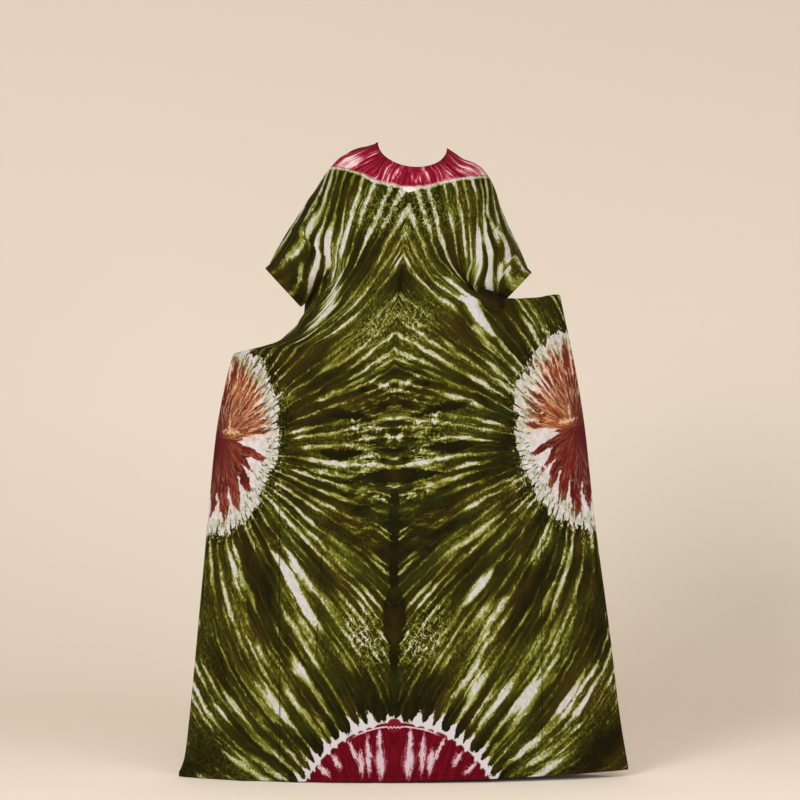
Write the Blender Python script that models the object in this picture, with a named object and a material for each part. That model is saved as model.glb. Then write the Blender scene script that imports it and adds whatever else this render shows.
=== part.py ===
"""Grand boubou robe: a wide, straight-cut cotton robe in the hollow form that it takes when it is worn with both
side seams held out, the right one higher than the left.

The origin is the middle of the neck hole on the shoulder line, where the wearer's neck and shoulders carry the robe.
The front faces -Y, +Z is up, and "left" and "right" are those of a viewer who faces the front.

The robe is cut as two wide panels, front and back. The panels' own width makes the sleeves: the upper part of each
side edge stays open for the arm, and the rest is sewn as a side seam. A panel is a grid of points. A row of the grid
is one thread line across the cloth, named by V, its distance down the cloth from the shoulder fold. A column is named
by S, from -1 at the left side edge to +1 at the right one.
"""

from collections import namedtuple

import bpy
import numpy as np

# ---- the cut, in metres
CUT_LENGTH = 1.46  # from the shoulder fold to the hem
ARM_OPENING = 0.24  # from the shoulder fold down each side edge
CLOTH = 0.0020  # wall of a panel
GAP = 0.0003  # between sewn pieces
NECK_HALF_WIDTH = 0.084
NECK_HALF_SHARE = 0.175  # share of the half width that the neck takes on the shoulder line
FRONT_NECK_DROP, BACK_NECK_DROP = 0.060, 0.046
FRONT_NECK_REACH, BACK_NECK_REACH = 0.080, 0.056  # how far the neck hole goes forward and back
BINDING_WIDTH, BINDING_THICK = 0.006, 0.0028
SLEEVE_HEM_WIDTH, SLEEVE_HEM_THICK = 0.012, 0.0030
HEM_WIDTH, HEM_THICK = 0.008, 0.0028
OPENING_BULGE = 0.072  # how far each edge of an arm opening stands off the plane between them
SHOULDER_ROUND = 0.105  # length of cloth that turns over the shoulder and arm
ARCH_FADE, NECK_FADE = 0.52, 0.20  # V where the arch of the shoulder line, and the neck's dip, have gone

# ---- grid of the coarse panel
NECK_COLUMNS, SIDE_COLUMNS = 10, 9

Station = namedtuple("Station", "name x z")

# The shoulder line, from the neck tip out along the arm to the sleeve's end.
LEFT_SHOULDER = [
    Station("neck tip", -0.0830, 0.0090),
    Station("collar bone", -0.1270, -0.0045),
    Station("shoulder top", -0.1580, -0.0185),
    Station("shoulder turn", -0.1830, -0.0430),
    Station("upper arm", -0.2410, -0.1270),
    Station("mid arm", -0.3010, -0.2200),
    Station("sleeve end", -0.3280, -0.2700),
]
RIGHT_SHOULDER = [
    Station("neck tip", 0.0850, -0.0050),
    Station("collar bone", 0.1130, -0.0240),
    Station("shoulder top", 0.1500, -0.0400),
    Station("shoulder turn", 0.1730, -0.0640),
    Station("upper arm", 0.2130, -0.1650),
    Station("mid arm", 0.2480, -0.2380),
    Station("sleeve end", 0.2660, -0.2790),
]
# The side seams, from the underarm out to the corner that is held, and down to the hem.
LEFT_TOP_EDGE = [
    Station("underarm", -0.2460, -0.3590),
    Station("tuck", -0.2490, -0.3860),
    Station("turn", -0.2580, -0.4010),
    Station("fold", -0.2900, -0.4320),
    Station("sag", -0.3180, -0.4530),
    Station("flat", -0.3600, -0.4640),
    Station("held corner", -0.4110, -0.4730),
]
LEFT_SIDE = [
    Station("held corner", -0.4110, -0.4730),
    Station("below hand", -0.4260, -0.5290),
    Station("hip", -0.4500, -0.6550),
    Station("thigh", -0.4690, -0.8500),
    Station("knee", -0.4900, -1.0800),
    Station("shin", -0.5130, -1.3200),
    Station("ankle", -0.5240, -1.4050),
    Station("hem corner", -0.5360, -1.4375),
]
RIGHT_TOP_EDGE = [
    Station("underarm", 0.1860, -0.3630),
    Station("tuck", 0.1885, -0.3760),
    Station("turn", 0.1970, -0.3790),
    Station("climb", 0.2090, -0.3640),
    Station("sag", 0.2668, -0.3500),
    Station("held corner", 0.3395, -0.3367),
]
RIGHT_SIDE = [
    Station("held corner", 0.3395, -0.3367),
    Station("below hand", 0.3520, -0.3950),
    Station("waist", 0.3740, -0.4990),
    Station("hip", 0.3960, -0.6330),
    Station("thigh", 0.4180, -0.8370),
    Station("knee", 0.4530, -1.1000),
    Station("shin", 0.4800, -1.3200),
    Station("hem corner", 0.4970, -1.4220),
]

# The robe's middle line: x in the front view, height of the thread line, and how far front and back stand off the
# plane of the side seams.
Middle = namedtuple("Middle", "name v x z front back")
MIDDLE = [
    Middle("shoulder line", 0.00, 0.001, 0.002, 0.088, 0.070),
    Middle("yoke", 0.10, -0.004, -0.092, 0.104, 0.098),
    Middle("chest", 0.22, -0.014, -0.204, 0.122, 0.112),
    Middle("under chest", 0.36, -0.030, -0.340, 0.124, 0.108),
    Middle("waist", 0.52, -0.041, -0.498, 0.118, 0.108),
    Middle("hip", 0.68, -0.041, -0.658, 0.114, 0.116),
    Middle("thigh", 0.90, -0.041, -0.880, 0.108, 0.112),
    Middle("knee", 1.15, -0.041, -1.132, 0.102, 0.104),
    Middle("hem", 1.46, -0.041, -1.4345, 0.098, 0.098),
]

# The largest folds. Each runs on a line from (s0, v0) to (s1, v1) of the grid. "high" is how far it stands out of
# the panel, "wide" its reach to each side in metres of cloth, and "steep" below 1 sharpens its upper or left side.
Fold = namedtuple("Fold", "name panel s0 v0 s1 v1 high wide steep")
FOLDS = [
    Fold("left taut fold, underarm to hand", "front", -0.60, 0.235, -0.97, 0.355, 0.014, 0.050, 0.45),
    Fold("left tuck above it", "front", -0.80, 0.185, -0.95, 0.250, -0.012, 0.040, 1.0),
    Fold("right sleeve's lower edge", "front", 0.62, 0.185, 0.94, 0.222, 0.020, 0.045, 1.0),
    Fold("right hollow under the sleeve", "front", 0.62, 0.265, 0.90, 0.285, -0.022, 0.036, 0.7),
    Fold("right pull from the hand", "front", 0.45, 0.400, 0.90, 0.400, 0.006, 0.060, 1.0),
    Fold("left trough below the hand", "front", -0.62, 0.560, -0.55, 1.100, -0.005, 0.070, 1.0),
    Fold("right trough below the hand", "front", 0.62, 0.520, 0.60, 1.200, -0.005, 0.070, 1.0),
    Fold("left corner kick", "front", -0.99, 1.300, -0.80, 1.460, 0.008, 0.050, 1.0),
    Fold("back left pull, underarm to hand", "back", -0.50, 0.240, -0.96, 0.370, 0.012, 0.055, 1.0),
    Fold("back right pull, underarm to hand", "back", 0.48, 0.250, 0.96, 0.350, 0.012, 0.055, 1.0),
    Fold("back left hang", "back", -0.42, 0.420, -0.50, 1.500, 0.011, 0.075, 1.0),
    Fold("back middle hang", "back", 0.06, 0.520, 0.02, 1.500, 0.009, 0.065, 1.0),
    Fold("back right hang", "back", 0.48, 0.460, 0.54, 1.500, 0.012, 0.080, 1.0),
    Fold("back left trough", "back", -0.20, 0.620, -0.24, 1.500, -0.008, 0.060, 1.0),
    Fold("back right trough", "back", 0.26, 0.560, 0.29, 1.500, -0.008, 0.060, 1.0),
]

# Where the cloth is pushed aside in the front view: it dips under the right sleeve before it climbs to the hand.
Shift = namedtuple("Shift", "name s v reach_s reach_v dx dz")
SHIFTS = [
    Shift("right tuck under the sleeve", 0.80, 0.310, 0.36, 0.090, 0.000, -0.050),
    Shift("right sleeve hangs", 0.78, 0.190, 0.30, 0.090, 0.010, -0.010),
    Shift("left sleeve hangs", -0.78, 0.190, 0.30, 0.090, -0.010, -0.006),
]


# ---- curves
def smooth_through(at, values, t):
    """Monotone cubic curve through (at, values), read at t."""
    at, values, t = (np.asarray(a, float) for a in (at, values, t))
    step, rise = np.diff(at), np.diff(values)
    slope = rise / step
    tangent = np.zeros(len(at))
    tangent[0], tangent[-1] = slope[0], slope[-1]
    for i in range(1, len(at) - 1):
        if slope[i - 1] * slope[i] > 0:
            a, b = 2 * step[i] + step[i - 1], step[i] + 2 * step[i - 1]
            tangent[i] = (a + b) / (a / slope[i - 1] + b / slope[i])
    i = np.clip(np.searchsorted(at, t) - 1, 0, len(at) - 2)
    h = step[i]
    u = np.clip((t - at[i]) / h, 0, 1)
    return (
        (2 * u**3 - 3 * u**2 + 1) * values[i]
        + (u**3 - 2 * u**2 + u) * h * tangent[i]
        + (3 * u**2 - 2 * u**3) * values[i + 1]
        + (u**3 - u**2) * h * tangent[i + 1]
    )


def lengths(stations):
    points = np.array([(p.x, p.z) for p in stations])
    return np.concatenate(
        [[0], np.cumsum(np.hypot(*np.diff(points, axis=0).T))]
    )


def along(stations, share):
    """Point (x, z) at this share of the length of the line through the stations."""
    run = lengths(stations)
    t = np.asarray(share) * run[-1]
    return np.stack(
        [
            smooth_through(run, [p.x for p in stations], t),
            smooth_through(run, [p.z for p in stations], t),
        ],
        axis=-1,
    )


def smoothstep(a, b, t):
    t = np.clip((t - a) / (b - a), 0, 1)
    return t * t * (3 - 2 * t)


def middle(column, v):
    return smooth_through([m.v for m in MIDDLE], [getattr(m, column) for m in MIDDLE], v)


def held_v(top, side):
    """V of the held corner: the seam's length is shared over the cloth below the arm opening."""
    a, b = lengths(top)[-1], lengths(side)[-1]
    return ARM_OPENING + (CUT_LENGTH - ARM_OPENING) * a / (a + b)


LEFT_HELD_V = held_v(LEFT_TOP_EDGE, LEFT_SIDE)
RIGHT_HELD_V = held_v(RIGHT_TOP_EDGE, RIGHT_SIDE)


def side_edge(v, shoulder, top, side, held):
    """(x, z) of a panel's side edge at V: the arm opening, then the held top edge, then the side."""
    v = np.asarray(v, float)
    tip = np.array([shoulder[-1].x, shoulder[-1].z])
    arm = np.array([top[0].x, top[0].z])
    turn = (1 - np.cos(np.pi * np.clip(v / ARM_OPENING, 0, 1))) / 2
    opening = tip + (arm - tip) * turn[..., None]
    upper = along(top, np.clip((v - ARM_OPENING) / (held - ARM_OPENING), 0, 1))
    lower = along(side, np.clip((v - held) / (CUT_LENGTH - held), 0, 1))
    v = v[..., None]
    return np.where(v < ARM_OPENING, opening, np.where(v < held, upper, lower))


def shoulder_line(s):
    """(x, z) of the shoulder line at S, the neck hole bridged by a straight line between its tips."""
    s = np.asarray(s, float)
    share = np.clip((np.abs(s) - NECK_HALF_SHARE) / (1 - NECK_HALF_SHARE), 0, 1)
    left, right = along(LEFT_SHOULDER, share), along(RIGHT_SHOULDER, share)
    inner = (s / NECK_HALF_SHARE + 1)[..., None] / 2
    tips = (1 - inner) * [LEFT_SHOULDER[0].x, LEFT_SHOULDER[0].z] + inner * [
        RIGHT_SHOULDER[0].x,
        RIGHT_SHOULDER[0].z,
    ]
    s = s[..., None]
    return np.where(s < -NECK_HALF_SHARE, left, np.where(s > NECK_HALF_SHARE, right, tips))


def neck_sine(s, v):
    """How far round the neck hole S is: 0 at its tips, 1 in the middle. Below the cut edge it spreads and softens."""
    t = np.clip(np.abs(s) / NECK_HALF_SHARE, 0, 1)
    soft = np.exp(-((s / (1.05 * NECK_HALF_SHARE)) ** 2))
    mix = smoothstep(0, 0.10, v)
    return np.cos(t * np.pi / 2) * (1 - mix) + soft * mix


def neck_place(s, v):
    """On the neck hole, moves S so that equal steps of S are equal turns round the oval."""
    t = np.clip(s / NECK_HALF_SHARE, -1, 1)
    turned = np.where(np.abs(s) < NECK_HALF_SHARE, np.sin(t * np.pi / 2) * NECK_HALF_SHARE, s)
    mix = smoothstep(0, 0.10, v)
    return turned * (1 - mix) + s * mix


def sheet(panel, s_top, s_low, v):
    """Points of a panel's inner face. s_top is the column's place on the shoulder line, s_low its place in the rows
    below the chest, and a column passes from one to the other as it comes down."""
    mix = smoothstep(0, 0.34, v)
    s = s_top * (1 - mix) + s_low * mix
    left = side_edge(v, LEFT_SHOULDER, LEFT_TOP_EDGE, LEFT_SIDE, LEFT_HELD_V)
    right = side_edge(v, RIGHT_SHOULDER, RIGHT_TOP_EDGE, RIGHT_SIDE, RIGHT_HELD_V)
    centre = np.stack([middle("x", v), middle("z", v)], axis=-1)
    edge = np.where((s < 0)[..., None], left, right)
    out = np.abs(s)[..., None]
    flat = centre + (edge - centre) * out

    # the shoulder line's arch over the straight line from the neck to the sleeve's end
    top_left = np.array([LEFT_SHOULDER[-1].x, LEFT_SHOULDER[-1].z])
    top_right = np.array([RIGHT_SHOULDER[-1].x, RIGHT_SHOULDER[-1].z])
    top_mid = np.array([MIDDLE[0].x, MIDDLE[0].z])
    top_edge = np.where((s < 0)[..., None], top_left, top_right)
    arch = shoulder_line(neck_place(s, v)) - (top_mid + (top_edge - top_mid) * out)
    flat = flat + arch * (np.clip(1 - v / ARCH_FADE, 0, 1) ** 1.35)[..., None]

    # the neck hole's dip
    drop = FRONT_NECK_DROP if panel == "front" else BACK_NECK_DROP
    fade = np.clip(1 - v / NECK_FADE, 0, 1) ** 1.6
    x, z = flat[..., 0], flat[..., 1] - drop * neck_sine(s, v) * fade

    inside = 1 - np.abs(s) ** 6
    for shift in SHIFTS:
        near = (
            np.exp(-(((s - shift.s) / shift.reach_s) ** 2) * 2.2)
            * np.exp(-(((v - shift.v) / shift.reach_v) ** 2) * 2.2)
            * (1 - np.abs(s) ** 16)
        )
        x, z = x + shift.dx * near, z + shift.dz * near

    # how far the cloth stands off the plane of the side seams
    turn = np.clip(v / ARM_OPENING, 0, 1)
    at_edge = OPENING_BULGE * np.sin(np.pi * turn)
    full = at_edge + (middle(panel, v) - at_edge) * (1 - np.abs(s) ** 2.3)
    over = np.sqrt(1 - (1 - np.clip(v / SHOULDER_ROUND, 0, 1)) ** 2)
    reach = FRONT_NECK_REACH if panel == "front" else BACK_NECK_REACH
    round_neck = neck_sine(s, v)
    start = reach * round_neck
    rise = np.sin(np.clip(v / (2.4 * SHOULDER_ROUND), 0, 1) * np.pi / 2)
    off = start + (full - start) * (over * (1 - round_neck) + rise * round_neck)

    # folds, as metres of cloth from each fold's line
    width = 0.50
    for fold in FOLDS:
        if fold.panel != panel:
            continue
        a = np.array([fold.s0 * width, fold.v0])
        b = np.array([fold.s1 * width, fold.v1])
        line = b - a
        long = np.hypot(*line)
        line = line / long
        px, pv = s * width - a[0], v - a[1]
        t = (px * line[0] + pv * line[1]) / long
        d = px * line[1] - pv * line[0]
        reach_d = np.where(d > 0, fold.wide * fold.steep, fold.wide)
        ends = smoothstep(-0.12, 0.18, t) * (1 - smoothstep(0.82, 1.12, t))
        if fold.v1 >= CUT_LENGTH:
            ends = smoothstep(-0.05, 0.45, t)
        off = off + fold.high * np.exp(-((d / reach_d) ** 2)) * ends * inside * over
    off = np.maximum(off, 0) + GAP / 2
    return np.stack([x, -off if panel == "front" else off, z], axis=-1)


def outward(grid, sign_y):
    """Unit normals of a grid of points, on the side of the panel that faces out."""
    down, across = np.gradient(grid, axis=0), np.gradient(grid, axis=1)
    normal = np.cross(across, down)
    normal /= np.linalg.norm(normal, axis=-1, keepdims=True) + 1e-12
    flip = np.sign((normal[..., 1] * sign_y).sum())
    return normal * flip


# ---- building solids
def wall(name, inner, outer, colour, ring=False):
    """A closed solid between two grids of points (rows x columns); ring joins the last column to the first."""
    rows, columns = inner.shape[:2]
    points = np.concatenate([inner.reshape(-1, 3), outer.reshape(-1, 3)])
    half = rows * columns

    def at(r, c, side):
        return side * half + r * columns + (c % columns if ring else c)

    faces = []
    spans = columns if ring else columns - 1
    for r in range(rows - 1):
        for c in range(spans):
            faces.append((at(r, c, 1), at(r + 1, c, 1), at(r + 1, c + 1, 1), at(r, c + 1, 1)))
            faces.append((at(r, c, 0), at(r, c + 1, 0), at(r + 1, c + 1, 0), at(r + 1, c, 0)))
    for c in range(spans):
        faces.append((at(0, c, 1), at(0, c + 1, 1), at(0, c + 1, 0), at(0, c, 0)))
        r = rows - 1
        faces.append((at(r, c, 0), at(r, c + 1, 0), at(r, c + 1, 1), at(r, c, 1)))
    if not ring:
        for r in range(rows - 1):
            faces.append((at(r, 0, 0), at(r + 1, 0, 0), at(r + 1, 0, 1), at(r, 0, 1)))
            c = columns - 1
            faces.append((at(r, c, 1), at(r + 1, c, 1), at(r + 1, c, 0), at(r, c, 0)))
    # the faces point out of the solid
    a, b, c, d = (points[[f[i] for f in faces]] for i in range(4))
    volume = (a * np.cross(b, c)).sum() + (a * np.cross(c, d)).sum()
    if volume < 0:
        faces = [f[::-1] for f in faces]
    mesh = bpy.data.meshes.new(name)
    mesh.from_pydata([tuple(p) for p in points], [], faces)
    mesh.update()
    mesh.shade_smooth()
    mesh.set_sharp_from_angle(angle=0.9)
    material = bpy.data.materials.new(name + "_cloth")
    material.use_nodes = True
    shader = material.node_tree.nodes["Principled BSDF"]
    shader.inputs["Base Color"].default_value = (*colour, 1)
    shader.inputs["Roughness"].default_value = 0.85
    shader.inputs["Metallic"].default_value = 0.0
    mesh.materials.append(material)
    thing = bpy.data.objects.new(name, mesh)
    bpy.context.scene.collection.objects.link(thing)
    return thing


OLIVE, CRIMSON = (0.10, 0.11, 0.02), (0.24, 0.01, 0.03)


def column_places():
    """(place on the shoulder line, place in the lower rows) of each column."""
    neck = np.linspace(-1, 1, NECK_COLUMNS + 1) * NECK_HALF_SHARE
    side = NECK_HALF_SHARE + (1 - NECK_HALF_SHARE) * np.arange(1, SIDE_COLUMNS + 1) / SIDE_COLUMNS
    top = np.concatenate([-side[::-1], neck, side])
    return top, np.linspace(-1, 1, len(top))


def row_places():
    upper = [0, 0.012, 0.030, 0.055, 0.085, 0.120, 0.160, 0.195, 0.222, ARM_OPENING]
    tucks = [0.258, 0.278, 0.305, 0.345, RIGHT_HELD_V, 0.43, LEFT_HELD_V]
    lower = np.linspace(LEFT_HELD_V, CUT_LENGTH, 17)[1:]
    return np.concatenate([upper, tucks, lower])


def opening_frame(shoulder, top):
    """The arm opening's two ends and its directions: from the sleeve's tip to the underarm, and out of the sleeve."""
    tip = np.array([shoulder[-1].x, 0, shoulder[-1].z])
    arm = np.array([top[0].x, 0, top[0].z])
    long = np.linalg.norm(arm - tip)
    line = (arm - tip) / long
    beyond = np.array([line[2], 0, -line[0]])
    return tip, long, line, beyond * np.sign(beyond[0] * shoulder[-1].x)


def opening_normal(turn, long, line):
    """Unit normals of the opening's oval; turn goes from 0 at the tip over pi at the underarm, the front first."""
    normal = (-2 * np.cos(turn) / long)[:, None] * line + (-np.sin(turn) / OPENING_BULGE)[:, None] * np.array([0, 1, 0])
    return normal / np.linalg.norm(normal, axis=1, keepdims=True)


def neck_frame(loop):
    """Unit normals of the cloth round the neck hole, and the directions into the hole."""
    tangent = np.roll(loop, -1, axis=0) - np.roll(loop, 1, axis=0)
    tangent /= np.linalg.norm(tangent, axis=1, keepdims=True)
    hole = (loop[:, 0].max() + loop[:, 0].min()) / 2
    across = (loop[:, 0] - hole) / NECK_HALF_WIDTH
    depth = np.where(loop[:, 1] < 0, loop[:, 1] / FRONT_NECK_REACH, loop[:, 1] / BACK_NECK_REACH)
    normal = np.stack([0.55 * across, 0.97 * depth, 0.25 + 0.62 * across**2], axis=1)
    normal -= tangent * (normal * tangent).sum(axis=1, keepdims=True)
    normal /= np.linalg.norm(normal, axis=1, keepdims=True)
    inward = np.cross(normal, tangent)
    toward = np.stack([-across, -depth, np.full(len(loop), 0.6)], axis=1)
    inward *= np.sign((inward * toward).sum(axis=1, keepdims=True))
    return normal, inward


def neck_loop(front_row, back_row):
    first, last = SIDE_COLUMNS, SIDE_COLUMNS + NECK_COLUMNS
    loop = np.concatenate([front_row[first : last + 1], back_row[first + 1 : last][::-1]])
    loop[[0, last - first], 1] = 0
    return loop


def panel(name, side, colour):
    top, low = column_places()
    v = row_places()
    s_top, vv = np.meshgrid(top, v)
    s_low, _ = np.meshgrid(low, v)
    inner = sheet(side, s_top, s_low, vv)
    sign = -1 if side == "front" else 1
    out = outward(inner, sign)
    # the cut edges are square to the cloth: round the neck, along the arm openings, and at the bottom
    other = sheet("back" if side == "front" else "front", s_top[:1], s_low[:1], vv[:1])[0]
    rows = (inner[0], other) if side == "front" else (other, inner[0])
    normal, _ = neck_frame(neck_loop(*rows))
    for i in range(NECK_COLUMNS + 1):
        out[0, SIDE_COLUMNS + i] = normal[i if side == "front" or i == 0 else 2 * NECK_COLUMNS - i]
    for tip in (SIDE_COLUMNS, SIDE_COLUMNS + NECK_COLUMNS):
        out[0, tip, 1] = sign * 0.12
    open_rows = v < ARM_OPENING - 1e-9
    for column, shoulder, edge in ((0, LEFT_SHOULDER, LEFT_TOP_EDGE), (-1, RIGHT_SHOULDER, RIGHT_TOP_EDGE)):
        _, long, line, _ = opening_frame(shoulder, edge)
        turn = np.pi * v[open_rows] / ARM_OPENING
        out[open_rows, column] = opening_normal(turn if side == "front" else -turn, long, line)
    out[-1, :, 2] = 0
    out[-1] /= np.linalg.norm(out[-1], axis=1, keepdims=True)
    # beside a seam the wall grows away from the other panel
    beside = np.abs(inner[..., 1]) < 0.004
    out[..., 1] = np.where(beside, sign * np.maximum(sign * out[..., 1], 0.3), out[..., 1])
    wall(name, inner, inner + out * CLOTH, colour)
    return inner, out


def sleeve_hem(name, shoulder, top):
    """The double-turned hem of an arm opening: one band round the oval, beyond the panels' edges."""
    tip, long, line, beyond = opening_frame(shoulder, top)
    # the band ends a little before the underarm, clear of the side seam below it
    short = 0.0012
    centre = tip + line * (long / 2 - short)
    turn = np.arange(40) / 40 * 2 * np.pi
    loop = (
        centre
        + (-np.cos(turn) * (long / 2 - short))[:, None] * line
        + (-np.sin(turn) * (OPENING_BULGE - 0.0004))[:, None] * np.array([0, 1, 0])
    )
    normal = opening_normal(turn, long, line)
    steps = np.array([GAP, SLEEVE_HEM_WIDTH / 2, SLEEVE_HEM_WIDTH])
    inner = loop[None] + steps[:, None, None] * beyond - normal[None] * (SLEEVE_HEM_THICK * 0.7)
    wall(name, inner, inner + normal[None] * SLEEVE_HEM_THICK, OLIVE, ring=True)


def neck_binding(front_grid, back_grid):
    """The turned edge round the neck, standing on the cut edges of both panels."""
    loop = neck_loop(front_grid[0], back_grid[0])
    normal, inward = neck_frame(loop)
    steps = np.array([GAP * 1.7, BINDING_WIDTH])
    inner = loop[None] + steps[:, None, None] * inward - normal[None] * (BINDING_THICK * 0.25)
    wall("neck_binding", inner, inner + normal[None] * BINDING_THICK, CRIMSON, ring=True)


def bottom_hem(name, grid, sign, colour):
    """The narrow turned hem, hanging on from the panel's last row."""
    row = grid[-1]
    tangent = np.gradient(row, axis=0)
    normal = np.cross(tangent, [0, 0, 1.0])
    normal /= np.linalg.norm(normal, axis=1, keepdims=True)
    normal *= sign * np.sign(normal[len(row) // 2, 1])
    normal[:, 1] = sign * np.maximum(np.abs(normal[:, 1]), 0.2)
    drops = np.array([GAP, HEM_WIDTH])
    inner = row[None] - drops[:, None, None] * np.array([0, 0, 1.0])
    outer = inner + normal[None] * HEM_THICK
    wall(name, inner, outer, colour)


def main():
    for thing in list(bpy.data.objects):
        bpy.data.objects.remove(thing)
    front_grid, _ = panel("front_panel", "front", OLIVE)
    back_grid, _ = panel("back_panel", "back", OLIVE)
    neck_binding(front_grid, back_grid)
    sleeve_hem("left_sleeve_hem", LEFT_SHOULDER, LEFT_TOP_EDGE)
    sleeve_hem("right_sleeve_hem", RIGHT_SHOULDER, RIGHT_TOP_EDGE)
    bottom_hem("front_hem", front_grid, -1, OLIVE)
    bottom_hem("back_hem", back_grid, 1, OLIVE)


main()
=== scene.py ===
"""Grand boubou robe, front view: the tie-dyed cotton robe in its worn form, on a plain pale floor."""

from collections import namedtuple

import bpy
import numpy as np
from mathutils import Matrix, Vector


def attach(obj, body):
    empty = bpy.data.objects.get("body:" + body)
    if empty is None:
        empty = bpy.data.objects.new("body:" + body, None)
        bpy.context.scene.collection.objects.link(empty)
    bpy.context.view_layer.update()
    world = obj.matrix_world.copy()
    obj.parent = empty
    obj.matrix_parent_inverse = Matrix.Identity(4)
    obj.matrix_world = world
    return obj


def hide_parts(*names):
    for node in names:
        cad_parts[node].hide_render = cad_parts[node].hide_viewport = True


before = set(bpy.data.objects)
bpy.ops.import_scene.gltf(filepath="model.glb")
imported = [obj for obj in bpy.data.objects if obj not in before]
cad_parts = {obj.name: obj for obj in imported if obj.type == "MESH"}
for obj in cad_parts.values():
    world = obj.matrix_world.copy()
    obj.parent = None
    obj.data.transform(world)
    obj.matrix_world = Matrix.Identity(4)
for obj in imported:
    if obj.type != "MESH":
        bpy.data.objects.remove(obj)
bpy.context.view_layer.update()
scene = bpy.context.scene

# ------------------------------------------------------------------ the cut and the worn form, as in the CAD
CUT_LENGTH = 1.46
ARM_OPENING = 0.24
GAP = 0.0003
NECK_HALF_WIDTH = 0.084
NECK_HALF_SHARE = 0.175
FRONT_NECK_DROP, BACK_NECK_DROP = 0.060, 0.046
FRONT_NECK_REACH, BACK_NECK_REACH = 0.080, 0.056
OPENING_BULGE = 0.072
SHOULDER_ROUND = 0.105
ARCH_FADE, NECK_FADE = 0.52, 0.20
NECK_COLUMNS, SIDE_COLUMNS = 10, 9
CLOTH = 0.0008

Station = namedtuple("Station", "name x z")
LEFT_SHOULDER = [
    Station("neck tip", -0.0830, 0.0090),
    Station("collar bone", -0.1270, -0.0045),
    Station("shoulder top", -0.1580, -0.0185),
    Station("shoulder turn", -0.1830, -0.0430),
    Station("upper arm", -0.2410, -0.1270),
    Station("mid arm", -0.3010, -0.2200),
    Station("sleeve end", -0.3280, -0.2700),
]
RIGHT_SHOULDER = [
    Station("neck tip", 0.0850, -0.0050),
    Station("collar bone", 0.1130, -0.0240),
    Station("shoulder top", 0.1500, -0.0400),
    Station("shoulder turn", 0.1730, -0.0640),
    Station("upper arm", 0.2130, -0.1650),
    Station("mid arm", 0.2480, -0.2380),
    Station("sleeve end", 0.2660, -0.2790),
]
LEFT_TOP_EDGE = [
    Station("underarm", -0.2460, -0.3590),
    Station("tuck", -0.2490, -0.3860),
    Station("turn", -0.2580, -0.4010),
    Station("fold", -0.2900, -0.4320),
    Station("sag", -0.3180, -0.4530),
    Station("flat", -0.3600, -0.4640),
    Station("held corner", -0.4110, -0.4730),
]
LEFT_SIDE = [
    Station("held corner", -0.4110, -0.4730),
    Station("below hand", -0.4260, -0.5290),
    Station("hip", -0.4500, -0.6550),
    Station("thigh", -0.4690, -0.8500),
    Station("knee", -0.4900, -1.0800),
    Station("shin", -0.5130, -1.3200),
    Station("ankle", -0.5240, -1.4050),
    Station("hem corner", -0.5360, -1.4375),
]
RIGHT_TOP_EDGE = [
    Station("underarm", 0.1860, -0.3630),
    Station("tuck", 0.1885, -0.3760),
    Station("turn", 0.1970, -0.3790),
    Station("climb", 0.2090, -0.3640),
    Station("sag", 0.2668, -0.3500),
    Station("held corner", 0.3395, -0.3367),
]
RIGHT_SIDE = [
    Station("held corner", 0.3395, -0.3367),
    Station("below hand", 0.3520, -0.3950),
    Station("waist", 0.3740, -0.4990),
    Station("hip", 0.3960, -0.6330),
    Station("thigh", 0.4180, -0.8370),
    Station("knee", 0.4530, -1.1000),
    Station("shin", 0.4800, -1.3200),
    Station("hem corner", 0.4970, -1.4220),
]
Middle = namedtuple("Middle", "name v x z front back")
MIDDLE = [
    Middle("shoulder line", 0.00, 0.001, 0.002, 0.088, 0.070),
    Middle("yoke", 0.10, -0.004, -0.092, 0.104, 0.098),
    Middle("chest", 0.22, -0.014, -0.204, 0.122, 0.112),
    Middle("under chest", 0.36, -0.030, -0.340, 0.124, 0.108),
    Middle("waist", 0.52, -0.041, -0.498, 0.118, 0.108),
    Middle("hip", 0.68, -0.041, -0.658, 0.114, 0.116),
    Middle("thigh", 0.90, -0.041, -0.880, 0.108, 0.112),
    Middle("knee", 1.15, -0.041, -1.132, 0.102, 0.104),
    Middle("hem", 1.46, -0.041, -1.4345, 0.098, 0.098),
]
Fold = namedtuple("Fold", "name panel s0 v0 s1 v1 high wide steep")
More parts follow.
